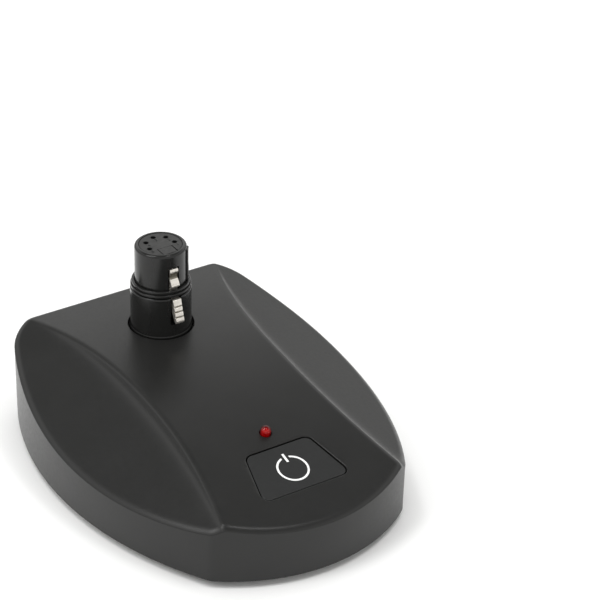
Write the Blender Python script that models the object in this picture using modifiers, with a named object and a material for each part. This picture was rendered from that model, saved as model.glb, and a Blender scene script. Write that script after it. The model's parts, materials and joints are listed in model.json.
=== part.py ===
"""Desktop base for a gooseneck microphone, with a five-contact socket, a power button and a rear outlet."""
import bpy
import bmesh
from math import acos, asin, atan2, ceil, cos, exp, pi, radians, sin, sqrt, tan
from mathutils import Matrix, Vector

# Lengths are metres. +Z is up, +Y runs to the rear wall, the origin is under the middle, on the desk.

# Housing plan; the front and rear widths run to the sharp corners, before rounding
LENGTH = 0.1210
WIDTH = 0.1021
FRONT_WIDTH = 0.0667
REAR_WIDTH = 0.0769
WIDEST_FROM_REAR = 0.0505
NOSE_RADIUS = 0.0550
FRONT_CORNER_RADIUS = 0.0060
REAR_CORNER_RADIUS = 0.0120

# Housing height and wall; heights run from the bottom edge
HEIGHT = 0.0310
FRONT_HEIGHT = 0.0164
APEX_FROM_REAR = 0.0244
WALL = 0.0022
RIM_ROUND = 0.0018

# Creases between the crowned top and the two side scoops
WAIST_FROM_REAR = 0.0618
SCOOP_WIDTH = 0.02695
CREASE_REAR_INSET = 0.0043
CREASE_FRONT_INSET = 0.0007
CREASE_REAR_POWER = 2.5
CREASE_ROUND = 0.0006
BAND_DEPTH = 0.0031
BAND_REACH = 0.0017
FLOOR_SLOPE_FRONT = 0.378
FLOOR_SLOPE_REAR = 0.36

# Fits
GAP = 0.0003
RUNNING_FIT = 0.0001

# Underside
FOOT_HEIGHT = 0.0022
FOOT_RADIUS = 0.0065
FOOT_INSET = 0.0005
FOOT_CHAMFER = 0.0006
FOOT_RECESS = 0.0008
FOOT_RECESS_RADIUS = 0.0028
PLATE_THICKNESS = 0.0025

# Screws, their bosses and pilot holes
SCREW_RADIUS = 0.0015
SCREW_HEAD_RADIUS = 0.0028
SCREW_HEAD_HEIGHT = 0.0014
SCREW_REACH = 0.0070
BOSS_RADIUS = 0.0032
BOSS_CLEARANCE = 0.0006
FRONT_BOSS_FROM_FRONT = 0.0297
REAR_BOSS_FROM_REAR = 0.0240
REAR_BOSS_INSET = 0.0115
SMALL_SCREW_RADIUS = 0.0011
SMALL_HEAD_RADIUS = 0.0020
SMALL_HEAD_HEIGHT = 0.0013
SMALL_SCREW_REACH = 0.0056
SMALL_BOSS_RADIUS = 0.0023
SCREW_TIP = 0.0006
PILOT_SLACK = 0.0005

# Boards
BOARD_THICKNESS = 0.0016
BOARD_CORNER = 0.0015
BOARD_EDGE = 0.0023

# Top socket: five contacts in a round nose; heights run from the crowned top
SOCKET_FROM_REAR = 0.0250
SOCKET_HEIGHT = 0.0278
NOSE_TIP_RADIUS = 0.0080
NOSE_WALL = 0.00105
NOSE_LENGTH = 0.0119
RING_HEIGHT = 0.00216
BODY_STEP = 0.00145
BODY_LIP = 0.0003
SHELL_CHAMFER = 0.0006
HOLE_CLEARANCE = 0.00074
INSERT_RECESS = 0.0004
CONTACT_COUNT = 5
CONTACT_INSET = 0.0022
CONTACT_STEP = radians(51.5)
CONTACT_RADIUS = 0.00095
CONTACT_MOUTH = 0.00065
CONTACT_SINK = 0.0014
CONTACT_BORE = 0.0100
CONTACT_TAIL = 0.0040
KEY_WIDTH = 0.00465
KEY_LENGTH = 0.0156
KEY_WALL = 0.0008
RIB_ANGLE = radians(-36)
RIB_WIDTH = 0.0026
RIB_HEIGHT = 0.0005
RIB_FROM_TIP = 0.0018
RIDGE_ROUND = 0.0006
FLANGE_WIDTH = 0.00255
FLANGE_THICKNESS = 0.0015
SPIGOT_LENGTH = 0.0045
BRACKET_THICKNESS = 0.0015
BRACKET_EAR = 0.0035

# Latch of the top socket, hung from a pin in the nose
LATCH_WIDTH = 0.0032
LATCH_PIVOT_INSET = 0.0026
LATCH_PIVOT_FROM_TIP = 0.0060
LATCH_PIN_RADIUS = 0.0005
LATCH_EYE_RADIUS = 0.0012
LATCH_EYE_GAP = 0.0009
LATCH_LIP_PROUD = 0.0008
LATCH_PAD_PROUD = 0.00145
LATCH_SLOT_LOW = 0.0026
LATCH_SLOT_FROM_TIP = 0.0044
LATCH_PLAY = 0.0010
GROOVE_COUNT = 3
GROOVE_WIDTH = 0.0008
GROOVE_DEPTH = 0.0004
LEAF_THICKNESS = 0.0003

# Rear outlet: five pins in a round well, on the user's right; depths run in from the rear wall
OUTLET_SIDE_GAP = 0.0018
OUTLET_RISE = 0.0007
OUTLET_RADIUS = 0.00822
OUTLET_DEPTH = 0.0140
OUTLET_LIP = 0.0011
OUTLET_WALL = 0.0016
OUTLET_STEP = 0.0004
WELL_CHAMFER = 0.0008
NOTCH_ANGLE = radians(65)
NOTCH_WIDTH = 0.0064
NOTCH_REACH = 0.0092
PIN_CIRCLE = 0.0044
PIN_RADIUS = 0.0008
PIN_POINT = 0.0006
PIN_TIP_DEPTH = 0.0035
PIN_TAIL = 0.0014
OUTLET_BOSS_CLEARANCE = 0.0010

# Button, lamp and the board under them; depths run inwards from the crowned top
BUTTON_FROM_FRONT = 0.02055
BUTTON_LENGTH = 0.0178
BUTTON_REAR_WIDTH = 0.0218
BUTTON_FRONT_WIDTH = 0.0302
BUTTON_CORNER = 0.0026
BUTTON_GAP = 0.00035
BUTTON_RECESS = 0.00055
BUTTON_TRAVEL = 0.0010
BUTTON_PLAY = 0.0006
BUTTON_FLANGE = 0.0014
BUTTON_FLANGE_THICKNESS = 0.0012
STEM_RADIUS = 0.0020
STEM_LENGTH = 0.0034
PLUNGER_RADIUS = 0.0017
PLUNGER_LENGTH = 0.0025
PLUNGER_SLACK = 0.0002
SWITCH_SIDE = 0.0062
SWITCH_FLOOR = 0.0003
SPRING_GAP = 0.0004
SPRING_WIRE = 0.00035
SPRING_TURNS = 4.5
LAMP_BEHIND_BUTTON = 0.00648
LAMP_RADIUS = 0.00155
LAMP_STAND = 0.0024
LAMP_FLANGE = 0.0004
LAMP_FLANGE_THICKNESS = 0.0010
LEAD_RADIUS = 0.00025
LEAD_SPREAD = 0.00127
LEAD_TAIL = 0.0010
CONTROL_BOARD_FRONT = 0.0080
BOARD_BEHIND_LAMP = 0.0038

# Inner cables
CABLE_RADIUS = 0.0014
CABLE_BOARD_X = 0.0070
CABLE_BOARD_INSET = 0.0035
CABLE_OUTLET_X = 0.0090
CABLE_OUTLET_DROP = 0.0055
CABLE_STUB = 0.0028
CABLE_PULL = 0.0080
CABLE_FLOOR_GAP = 0.0010

# Facets
OUTER_GRID = (28, (0.0, 0.25, 0.48, 0.7, 0.9, 1.0), (0.045, 0.1, 0.18, 0.3, 0.5, 0.75, 1.0))
INNER_GRID = (24, (0.0, 0.25, 0.48, 0.7, 0.87, 0.95, 1.0), (0.1, 0.25, 0.5, 1.0))
END_CROWDING = 0.75
RIM_STEPS = 3
CHORD_ERROR = 0.00005
LARGE_ROUND = 36
SMALL_ROUND = 16
TINY_ROUND = 10
CABLE_STEPS = 11

# Derived sizes and places
REAR = LENGTH / 2
FRONT = -LENGTH / 2
WIDEST = REAR - WIDEST_FROM_REAR
WAIST = REAR - WAIST_FROM_REAR
APEX = REAR - APEX_FROM_REAR
SOCKET_Y = REAR - SOCKET_FROM_REAR
BUTTON_Y = FRONT + BUTTON_FROM_FRONT
CREASE_WAIST = WIDTH / 2 - SCOOP_WIDTH
CREASE_REAR = REAR_WIDTH / 2 - CREASE_REAR_INSET
CREASE_FRONT = FRONT_WIDTH / 2 - CREASE_FRONT_INSET
CROWN_DROP = HEIGHT - FRONT_HEIGHT
CROWN_RADIUS = ((APEX - FRONT) ** 2 + CROWN_DROP ** 2) / (2 * CROWN_DROP)
TILT = asin((APEX - BUTTON_Y) / CROWN_RADIUS)
PLATE_BOTTOM = FOOT_HEIGHT + GAP
PLATE_TOP = PLATE_BOTTOM + PLATE_THICKNESS
BODY_RADIUS = NOSE_TIP_RADIUS + BODY_STEP
SHELL_BORE = NOSE_TIP_RADIUS - NOSE_WALL
INSERT_RADIUS = SHELL_BORE - GAP
CONTACT_CIRCLE = INSERT_RADIUS - CONTACT_INSET
SOCKET_HOLE = BODY_RADIUS + HOLE_CLEARANCE
FLANGE_RADIUS = BODY_RADIUS + FLANGE_WIDTH
LATCH_PIVOT_R = NOSE_TIP_RADIUS - LATCH_PIVOT_INSET
LATCH_PIVOT_Z = SOCKET_HEIGHT - LATCH_PIVOT_FROM_TIP
LATCH_SLOT_HIGH = SOCKET_HEIGHT - LATCH_SLOT_FROM_TIP
POCKET_FLOOR = LATCH_PIVOT_R - LATCH_EYE_RADIUS - LATCH_EYE_GAP
KEY_INNER = POCKET_FLOOR - KEY_WALL
WELL_OUTER = OUTLET_RADIUS + OUTLET_WALL


def crown(y):
    """Height of the crowned top along the middle."""
    return FOOT_HEIGHT + HEIGHT - CROWN_RADIUS + sqrt(CROWN_RADIUS ** 2 - (y - APEX) ** 2)


def crease(y):
    """Half the width of the crowned top, between its two creases."""
    if y > WAIST:
        share = ((y - WAIST) / (REAR - WAIST)) ** CREASE_REAR_POWER
        return CREASE_WAIST + (CREASE_REAR - CREASE_WAIST) * share
    return CREASE_WAIST + (CREASE_FRONT - CREASE_WAIST) * ((WAIST - y) / (WAIST - FRONT)) ** 2


def smooth_step(value):
    value = min(max(value, 0.0), 1.0)
    return value * value * (3 - 2 * value)


def top_height(x, y):
    """Outer top surface: a crown, rounded over a crease into a hollow band and a sloping side floor."""
    out = abs(x) - crease(y)
    if out < -CREASE_ROUND:
        return crown(y)
    if out < CREASE_ROUND:
        out = (out + CREASE_ROUND) ** 2 / (4 * CREASE_ROUND)
    reach = (y - WAIST) / (REAR - WAIST)
    band = BAND_DEPTH * max(0.0, 1 - reach * reach)
    rearward = smooth_step((y - WAIST) / (SOCKET_Y - WAIST))
    slope = FLOOR_SLOPE_FRONT + (FLOOR_SLOPE_REAR - FLOOR_SLOPE_FRONT) * rearward
    return crown(y) - band * (1 - exp(-out / BAND_REACH)) - slope * out


# Plan of the housing: a flat rear, two arcs down each side, a nose arc, and round corners

def side_radius(end_half, end_y):
    """Radius of a side's arc that is upright at the widest place and ends at a given half width."""
    inward = WIDTH / 2 - end_half
    along = WIDEST - end_y
    return (inward ** 2 + along ** 2) / (2 * inward)


NOSE_CORNER_Y = FRONT + NOSE_RADIUS - sqrt(NOSE_RADIUS ** 2 - (FRONT_WIDTH / 2) ** 2)
SIDE_REAR_RADIUS = side_radius(REAR_WIDTH / 2, REAR)
SIDE_FRONT_RADIUS = side_radius(FRONT_WIDTH / 2, NOSE_CORNER_Y)


def half_outline():
    """Arcs of the right half of the plan, rear to front: centre, radius, first and last angle."""
    side_rear = Vector((WIDTH / 2 - SIDE_REAR_RADIUS, WIDEST))
    side_front = Vector((WIDTH / 2 - SIDE_FRONT_RADIUS, WIDEST))
    nose = Vector((0, FRONT + NOSE_RADIUS))
    corner_y = REAR - REAR_CORNER_RADIUS
    reach = sqrt((SIDE_REAR_RADIUS - REAR_CORNER_RADIUS) ** 2 - (corner_y - WIDEST) ** 2)
    rear_corner = Vector((side_rear.x + reach, corner_y))
    long_side = SIDE_FRONT_RADIUS - FRONT_CORNER_RADIUS
    short_side = NOSE_RADIUS - FRONT_CORNER_RADIUS
    between = nose - side_front
    along = (long_side ** 2 - short_side ** 2 + between.length_squared) / (2 * between.length)
    across = sqrt(long_side ** 2 - along ** 2)
    unit = between.normalized()
    foot = side_front + unit * along
    square = Vector((-unit.y, unit.x)) * across
    front_corner = min(foot + square, foot - square, key=lambda place: place.y)
    rear_turn = atan2(rear_corner.y - side_rear.y, rear_corner.x - side_rear.x)
    front_turn = atan2(front_corner.y - side_front.y, front_corner.x - side_front.x)
    nose_turn = atan2(front_corner.y - nose.y, front_corner.x - nose.x)
    return [
        (rear_corner, REAR_CORNER_RADIUS, pi / 2, rear_turn),
        (side_rear, SIDE_REAR_RADIUS, rear_turn, 0.0),
        (side_front, SIDE_FRONT_RADIUS, 0.0, front_turn),
        (front_corner, FRONT_CORNER_RADIUS, front_turn, nose_turn),
        (nose, NOSE_RADIUS, nose_turn, -pi / 2),
    ]


ARCS = half_outline()
REAR_CORNER = 0
FRONT_CORNER = 3
REAR_FLAT = ARCS[REAR_CORNER][0].x
ARC_LENGTHS = [radius * (first - last) for _, radius, first, last in ARCS]
HALF_LENGTH = REAR_FLAT + sum(ARC_LENGTHS)


def outline_at(distance, inset):
    """Point and outward direction on the right half of the plan, measured from the rear's middle."""
    if distance <= REAR_FLAT:
        return Vector((distance, REAR - inset)), Vector((0, 1))
    arc = 0
    left = distance - REAR_FLAT
    while left > ARC_LENGTHS[arc] and arc < len(ARCS) - 1:
        left -= ARC_LENGTHS[arc]
        arc += 1
    centre, radius, first, last = ARCS[arc]
    angle = first + (last - first) * min(left / ARC_LENGTHS[arc], 1.0)
    away = Vector((cos(angle), sin(angle)))
    return centre + away * (radius - inset), away


def side_edge(y):
    """Half the plan's width at a place along its side arcs."""
    radius = SIDE_REAR_RADIUS if y > WIDEST else SIDE_FRONT_RADIUS
    return WIDTH / 2 - radius + sqrt(radius ** 2 - (y - WIDEST) ** 2)


def corner_place(arc, reach):
    """Place on the inward line from the middle of a corner's arc."""
    middle = REAR_FLAT + sum(ARC_LENGTHS[:arc]) + ARC_LENGTHS[arc] / 2
    point, away = outline_at(middle, 0)
    return point - away * reach


def crease_end(inset, inner, outer):
    """Distance along the plan where a crease runs off the edge, between a place inside it and one outside."""
    for _ in range(50):
        middle = (inner + outer) / 2
        point = outline_at(middle, inset)[0]
        if point.x < crease(point.y):
            inner = middle
        else:
            outer = middle
    return inner


def edge_direction(point, inset):
    """Outward direction at a point of the plan's edge."""
    right = Vector((abs(point.x), point.y))
    best = None
    if right.x <= REAR_FLAT:
        best = (abs(right.y - REAR + inset), Vector((0, 1)))
    for centre, radius, first, last in ARCS:
        away = right - centre
        angle = atan2(away.y, away.x)
        miss = abs(away.length - radius + inset)
        if last - 1e-4 <= angle <= first + 1e-4 and (best is None or miss < best[0]):
            best = (miss, away.normalized())
    side = -1 if point.x < 0 else 1
    return Vector((best[1].x * side, best[1].y))


def nose_edge(x, inset):
    """Front edge of the plan at a sideways place, as the nose and the corner round it."""
    low = HALF_LENGTH - sum(ARC_LENGTHS[FRONT_CORNER:])
    high = HALF_LENGTH
    for _ in range(40):
        middle = (low + high) / 2
        if outline_at(middle, inset)[0].x > x:
            low = middle
        else:
            high = middle
    return outline_at(low, inset)[0].y


def rear_edge(x, inset):
    """Rear edge of the plan at a sideways place."""
    if x <= REAR_FLAT:
        return REAR - inset
    corner = ARCS[REAR_CORNER][0]
    return corner.y + sqrt(max((REAR_CORNER_RADIUS - inset) ** 2 - (x - corner.x) ** 2, 0.0))


def rear_corner_edge(y, inset):
    """Half the plan's width at a place along its rear corner."""
    corner = ARCS[REAR_CORNER][0]
    return corner.x + sqrt((REAR_CORNER_RADIUS - inset) ** 2 - (y - corner.y) ** 2)


def plan_loop(inset):
    """Whole plan outline, drawn in by an inset."""
    distances = [0.0, REAR_FLAT / 2]
    start = REAR_FLAT
    for (_, radius, first, last), length in zip(ARCS, ARC_LENGTHS):
        count = ceil((first - last) / (2 * acos(1 - CHORD_ERROR / radius)))
        distances += [start + length * step / count for step in range(count)]
        start += length
    right = [outline_at(distance, inset)[0] for distance in distances + [HALF_LENGTH]]
    left = [Vector((-point.x, point.y)) for point in right[-2:0:-1]]
    return [tuple(point) for point in right + left]


# Form of the housing, as a closed body

def extrude_edge(form, start, edge):
    """Extrude the open edge of a form; each new vertex maps to its first plan point and direction."""
    rim_edges = [e for e in form.edges if e.is_boundary]
    grown = bmesh.ops.extrude_edge_only(form, edges=rim_edges)["geom"]
    fresh = [item for item in grown if isinstance(item, bmesh.types.BMVert)]
    found = {}
    for vertex in fresh:
        below = next((key for key in start if (key.co - vertex.co).length < 1e-9), None)
        plan = vertex.co.xy.copy()
        found[vertex] = start[below] if below else (plan, edge_direction(plan, edge))
    return found


def form_solid(inset, drop, rim, bottom, rows, panel_steps, scoop_steps):
    """Closed body of the housing's form, drawn in by an inset, with its top lowered and its rim rounded."""
    edge = inset + rim
    rear_end = crease_end(edge, 0.0, HALF_LENGTH / 2)
    front_end = crease_end(edge, HALF_LENGTH, HALF_LENGTH / 2)
    rear_point = outline_at(rear_end, edge)[0]
    front_point = outline_at(front_end, edge)[0]
    panel_count = len(panel_steps) - 1
    columns = panel_count + len(scoop_steps)

    def row_share(row):
        even = row / rows
        return even + END_CROWDING * ((1 - cos(pi * even)) / 2 - even)

    def place(column, row):
        side = -1 if column < 0 else 1
        column = abs(column)
        share = row_share(row)
        y = rear_point.y + (front_point.y - rear_point.y) * share
        if column <= panel_count:
            across = panel_steps[column]
            behind = rear_edge(across * rear_point.x, edge) - rear_point.y
            ahead = nose_edge(across * front_point.x, edge) - front_point.y
            point = Vector((across * crease(y), y + (1 - share) ** 2 * behind + share ** 2 * ahead))
        else:
            inner = Vector((crease(y), y))
            outer = outline_at(rear_end + (front_end - rear_end) * share, edge)[0]
            point = inner.lerp(outer, scoop_steps[column - panel_count - 1])
        return Vector((side * point.x, point.y, top_height(point.x, point.y) - drop))

    form = bmesh.new()
    bmesh.ops.create_grid(form, x_segments=2 * columns, y_segments=rows, size=1.0)
    for vertex in form.verts:
        column = round(vertex.co.x * columns)
        row = round((1 - vertex.co.y) / 2 * rows)
        vertex.co = place(column, row)
    bmesh.ops.remove_doubles(form, verts=form.verts, dist=1e-6)
    offsets = [rim * sin(pi / 2 * step / RIM_STEPS) for step in range(1, RIM_STEPS + 1)] if rim else []
    start = {}
    for offset in offsets:
        start = extrude_edge(form, start, edge)
        for vertex, (point, away) in start.items():
            plan = point + away * offset
            fall = rim - sqrt(max(rim ** 2 - offset ** 2, 0.0))
            vertex.co = (plan.x, plan.y, top_height(plan.x, plan.y) - drop - fall)
    for vertex in extrude_edge(form, start, edge):
        vertex.co.z = bottom
    bmesh.ops.contextual_create(form, geom=[e for e in form.edges if e.is_boundary])
    bmesh.ops.recalc_face_normals(form, faces=form.faces)
    return form


# Scene, collections and materials

for old in list(bpy.data.objects):
    bpy.data.objects.remove(old, do_unlink=True)

PARTS = bpy.data.collections.new("gooseneck_microphone_base")
CUTTERS = bpy.data.collections.new("cutters")
bpy.context.scene.collection.children.link(PARTS)
bpy.context.scene.collection.children.link(CUTTERS)


def finish(name, colour, roughness, metallic=0.0):
    material = bpy.data.materials.new(name)
    material.use_nodes = True
    shader = material.node_tree.nodes["Principled BSDF"]
    shader.inputs["Base Color"].default_value = (*colour, 1.0)
    shader.inputs["Roughness"].default_value = roughness
    shader.inputs["Metallic"].default_value = metallic
    return material


HOUSING_GREY = finish("housing_grey", (0.045, 0.045, 0.044), 0.48)
SOCKET_BLACK = finish("socket_black", (0.016, 0.016, 0.016), 0.38)
INSERT_BLACK = finish("insert_black", (0.020, 0.020, 0.020), 0.55)
BUTTON_GREY = finish("button_grey", (0.040, 0.041, 0.041), 0.45)
STEEL = finish("zinc_steel", (0.55, 0.55, 0.54), 0.35, 1.0)
LATCH_NICKEL = finish("latch_nickel", (0.80, 0.77, 0.72), 0.28, 1.0)
CONTACT_SILVER = finish("contact_silver", (0.83, 0.82, 0.79), 0.22, 1.0)
LAMP_RED = finish("lamp_red", (0.45, 0.010, 0.012), 0.12)
BOARD_GREEN = finish("board_green", (0.045, 0.22, 0.12), 0.42)
RUBBER = finish("foot_rubber", (0.018, 0.018, 0.018), 0.85)
CABLE_GREY = finish("cable_jacket", (0.10, 0.10, 0.10), 0.6)


# Objects, cutters and basic shapes

def empty(name, location, rotation=(0, 0, 0)):
    frame = bpy.data.objects.new(name, None)
    frame.location = location
    frame.rotation_euler = rotation
    PARTS.objects.link(frame)
    return frame


def part(name, mesh, material, parent=None, location=(0, 0, 0), smooth=True):
    mesh.materials.clear()
    mesh.materials.append(material)
    piece = bpy.data.objects.new(name, mesh)
    piece.parent = parent
    piece.location = location
    PARTS.objects.link(piece)
    if smooth:
        mesh.shade_smooth()
        mesh.set_sharp_from_angle(angle=radians(35))
    return piece


def cutter(name, mesh, parent=None, location=(0, 0, 0)):
    tool = bpy.data.objects.new(name, mesh)
    tool.parent = parent
    tool.location = location
    tool.hide_render = True
    tool.display_type = "WIRE"
    CUTTERS.objects.link(tool)
    return tool


def boolean(piece, tool, operation="DIFFERENCE"):
    change = piece.modifiers.new(tool.name, "BOOLEAN")
    change.operation = operation
    change.solver = "EXACT"
    change.object = tool


def mesh_from(form, name):
    mesh = bpy.data.meshes.new(name)
    form.to_mesh(mesh)
    form.free()
    return mesh


def evaluated(temporary, name):
    """Mesh of an object as its modifiers or its curve shape it; the object is removed."""
    CUTTERS.objects.link(temporary)
    graph = bpy.context.evaluated_depsgraph_get()
    mesh = bpy.data.meshes.new_from_object(temporary.evaluated_get(graph))
    mesh.name = name
    form = bmesh.new()
    form.from_mesh(mesh)
    bmesh.ops.remove_doubles(form, verts=form.verts, dist=1e-7)
    bmesh.ops.recalc_face_normals(form, faces=form.faces)
    form.to_mesh(mesh)
    form.free()
    data = temporary.data
    bpy.data.objects.remove(temporary, do_unlink=True)
    bpy.data.batch_remove([data])
    return mesh


def turned(name, profile, steps, closed=False):
    """Body turned about Z from (radius, height) points, given top to bottom on the outer side."""
    line = bmesh.new()
    points = [line.verts.new((radius, 0, height)) for radius, height in profile]
    for first, second in zip(points, points[1:]):
        line.edges.new((first, second))
    if closed:
        line.edges.new((points[-1], points[0]))
    shape = bpy.data.objects.new(name, mesh_from(line, name))
    screw = shape.modifiers.new("turn", "SCREW")
    screw.axis = "Z"
    screw.steps = steps
    screw.render_steps = steps
    screw.use_merge_vertices = True
    screw.merge_threshold = 0.00001
    return evaluated(shape, name)


def rod(name, radius, low, high, steps=SMALL_ROUND, places=((0, 0),)):
    """Straight round bars along Z, one at each place."""
    form = bmesh.new()
    for x, y in places:
        spot = Matrix.Translation((x, y, (low + high) / 2))
        bmesh.ops.create_cone(form, cap_ends=True, segments=steps, radius1=radius, radius2=radius,
                              depth=high - low, matrix=spot)
    return mesh_from(form, name)


def block(name, low, high):
    """Box between two corners."""
    form = bmesh.new()
    size = Vector(high) - Vector(low)
    middle = (Vector(high) + Vector(low)) / 2
    matrix = Matrix.Translation(middle) @ Matrix.Diagonal((*size, 1.0))
    bmesh.ops.create_cube(form, size=1.0, matrix=matrix)
    return mesh_from(form, name)


def plate(name, loops, low, high):
    """Flat sheet between two heights; the first loop is its edge and the others are holes."""
    curve = bpy.data.curves.new(name, "CURVE")
    curve.dimensions = "2D"
    curve.fill_mode = "BOTH"
    curve.extrude = (high - low) / 2
    for loop in loops:
        spline = curve.splines.new("POLY")
        spline.points.add(len(loop) - 1)
        spline.use_cyclic_u = True
        for point, (x, y) in zip(spline.points, loop):
            point.co = (x, y, 0, 1)
    mesh = evaluated(bpy.data.objects.new(name, curve), name)
    mesh.transform(Matrix.Translation((0, 0, (low + high) / 2)))
    return mesh


def tube(name, points, radius, resolution):
    """Round wire along a list of points."""
    curve = bpy.data.curves.new(name, "CURVE")
    curve.dimensions = "3D"
    curve.bevel_depth = radius
    curve.bevel_resolution = resolution
    curve.use_fill_caps = True
    spline = curve.splines.new("POLY")
    spline.points.add(len(points) - 1)
    for knot, point in zip(spline.points, points):
        knot.co = (*point, 1)
    return evaluated(bpy.data.objects.new(name, curve), name)


def arc(centre, radius, first, last, steps):
    """Points of an arc, both ends with it."""
    turns = [first + (last - first) * step / steps for step in range(steps + 1)]
    return [(centre[0] + radius * cos(turn), centre[1] + radius * sin(turn)) for turn in turns]


def circle(radius, steps=TINY_ROUND, centre=(0, 0)):
    return arc(centre, radius, 0, 2 * pi, steps)[:-1]


def rounded(corners, radius, steps=5):
    """Outline of a convex polygon with round corners, counterclockwise."""
    outline = []
    count = len(corners)
    for index, corner in enumerate(corners):
        here = Vector(corner)
        back = (Vector(corners[index - 1]) - here).normalized()
        ahead = (Vector(corners[(index + 1) % count]) - here).normalized()
        half = acos(back.dot(ahead)) / 2
        centre = here + (back + ahead).normalized() * radius / sin(half)
        start = here + back * radius / tan(half) - centre
        first = atan2(start.y, start.x)
        outline += arc(centre, radius, first, first + pi - 2 * half, steps)
    return outline


def pan_screw(name, head, tip, place, frame):
    """Small pan-head screw along a frame's Z, pointing up, its head under the given height."""
    head_low = head - SMALL_HEAD_HEIGHT
    head_edge = head - SMALL_HEAD_HEIGHT / 2
    profile = [
        (0, tip), (SMALL_SCREW_RADIUS - SCREW_TIP / 2, tip), (SMALL_SCREW_RADIUS, tip - SCREW_TIP),
        (SMALL_SCREW_RADIUS, head), (SMALL_HEAD_RADIUS, head), (SMALL_HEAD_RADIUS, head_edge),
        (SMALL_HEAD_RADIUS - SCREW_TIP, head_low), (0, head_low),
    ]
    part(name, turned(name, profile, TINY_ROUND), STEEL, frame, (*place, 0))


def button_outline(grow):
    """Button's rounded trapezium on the crown, grown or shrunk all round."""
    half = BUTTON_LENGTH / 2 + grow
    lean = (BUTTON_FRONT_WIDTH - BUTTON_REAR_WIDTH) / 2 / BUTTON_LENGTH
    side = grow * sqrt(1 + lean * lean)
    middle = (BUTTON_FRONT_WIDTH + BUTTON_REAR_WIDTH) / 4 + side
    rear = middle - lean * half
    front = middle + lean * half
    corners = [(-front, -half), (front, -half), (rear, half), (-rear, half)]
    return rounded(corners, BUTTON_CORNER + grow)


# Heights in the top socket, from the crowned top at its middle

flange_top = crown(SOCKET_Y - FLANGE_RADIUS) - crown(SOCKET_Y) - WALL - GAP
flange_bottom = flange_top - FLANGE_THICKNESS
bracket_top = flange_bottom - GAP
bracket_bottom = bracket_top - BRACKET_THICKNESS
spigot_low = flange_bottom - SPIGOT_LENGTH
socket_board_top = spigot_low - GAP
socket_board_bottom = socket_board_top - BOARD_THICKNESS
nose_low = SOCKET_HEIGHT - NOSE_LENGTH
ring_low = nose_low - RING_HEIGHT
body_top = ring_low - GAP

# Depths under the button, from its flange down to the board

flange_high = -WALL - BUTTON_PLAY
flange_low = flange_high - BUTTON_FLANGE_THICKNESS
stem_low = flange_low - STEM_LENGTH
plunger_top = stem_low - GAP
plunger_low = plunger_top - PLUNGER_LENGTH
switch_top = plunger_top - BUTTON_TRAVEL - PLUNGER_SLACK
switch_floor = plunger_low - BUTTON_TRAVEL - PLUNGER_SLACK
switch_base = switch_floor - SWITCH_FLOOR
board_top = switch_base - GAP
board_bottom = board_top - BOARD_THICKNESS
lamp_y = BUTTON_LENGTH / 2 + LAMP_BEHIND_BUTTON
lamp_drop = CROWN_RADIUS - sqrt(CROWN_RADIUS ** 2 - lamp_y ** 2)
board_rear = lamp_y + BOARD_BEHIND_LAMP

# Depths in the rear outlet, from the rear wall

outlet_z = (PLATE_TOP + crown(REAR) - WALL) / 2 + OUTLET_RISE
well_front = -WALL - GAP
well_side = rear_corner_edge(REAR + well_front, WALL) - OUTLET_SIDE_GAP
outlet_x = well_side - (WELL_OUTER - WELL_CHAMFER)
lip_depth = well_front - OUTLET_LIP
outlet_board_face = -OUTLET_DEPTH - GAP
outlet_board_back = outlet_board_face - BOARD_THICKNESS

# Frames of the four groups: top socket, its latch, rear outlet, button with lamp

socket_frame = empty("socket_frame", (0, SOCKET_Y, crown(SOCKET_Y)))
latch_frame = empty("latch_frame", (0, -LATCH_PIVOT_R, LATCH_PIVOT_Z))
latch_frame.parent = socket_frame
outlet_frame = empty("outlet_frame", (outlet_x, REAR, outlet_z), (-pi / 2, 0, 0))
button_frame = empty("button_frame", (0, BUTTON_Y, crown(BUTTON_Y)), (TILT, 0, 0))

# Places of the fasteners, contacts and pins

board_screw_x = BUTTON_FRONT_WIDTH / 2 + BUTTON_FLANGE + GAP + SMALL_BOSS_RADIUS
board_half = board_screw_x + BOARD_EDGE
board_screw_places = [
    (side * board_screw_x, y)
    for y in (board_rear - BOARD_EDGE, -CONTROL_BOARD_FRONT / 2)
    for side in (-1, 1)
]
front_boss_x = board_half + BOSS_CLEARANCE + BOSS_RADIUS
front_boss_y = FRONT + FRONT_BOSS_FROM_FRONT
rear_boss_y = REAR - REAR_BOSS_FROM_REAR
rear_boss_x = side_edge(rear_boss_y) - REAR_BOSS_INSET
base_screw_places = [
    (side * x, y)
    for x, y in ((front_boss_x, front_boss_y), (rear_boss_x, rear_boss_y))
    for side in (-1, 1)
]
bracket_screw_x = FLANGE_RADIUS + BRACKET_EAR + BOSS_CLEARANCE
bracket_screw_places = [(side * bracket_screw_x, 0) for side in (-1, 1)]
outlet_screw_x = WELL_OUTER + OUTLET_BOSS_CLEARANCE + SMALL_BOSS_RADIUS
outlet_screw_places = [(side * outlet_screw_x, 0) for side in (-1, 1)]
middle_contact = (CONTACT_COUNT - 1) / 2
contact_angles = [pi / 2 + CONTACT_STEP * (index - middle_contact) for index in range(CONTACT_COUNT)]
contact_places = [(CONTACT_CIRCLE * cos(turn), CONTACT_CIRCLE * sin(turn)) for turn in contact_angles]
pin_places = [(PIN_CIRCLE * cos(turn), -PIN_CIRCLE * sin(turn)) for turn in contact_angles]


# Housing: outer form, less its core, with bosses inside and openings through the wall

outer_form = form_solid(0, 0, RIM_ROUND, FOOT_HEIGHT, *OUTER_GRID)
top_housing = part("top_housing", mesh_from(outer_form, "top_housing"), HOUSING_GREY)
inner_form = form_solid(WALL, WALL, 0, FOOT_HEIGHT - WALL, *INNER_GRID)
boolean(top_housing, cutter("housing_core", mesh_from(inner_form, "housing_core")))

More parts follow.
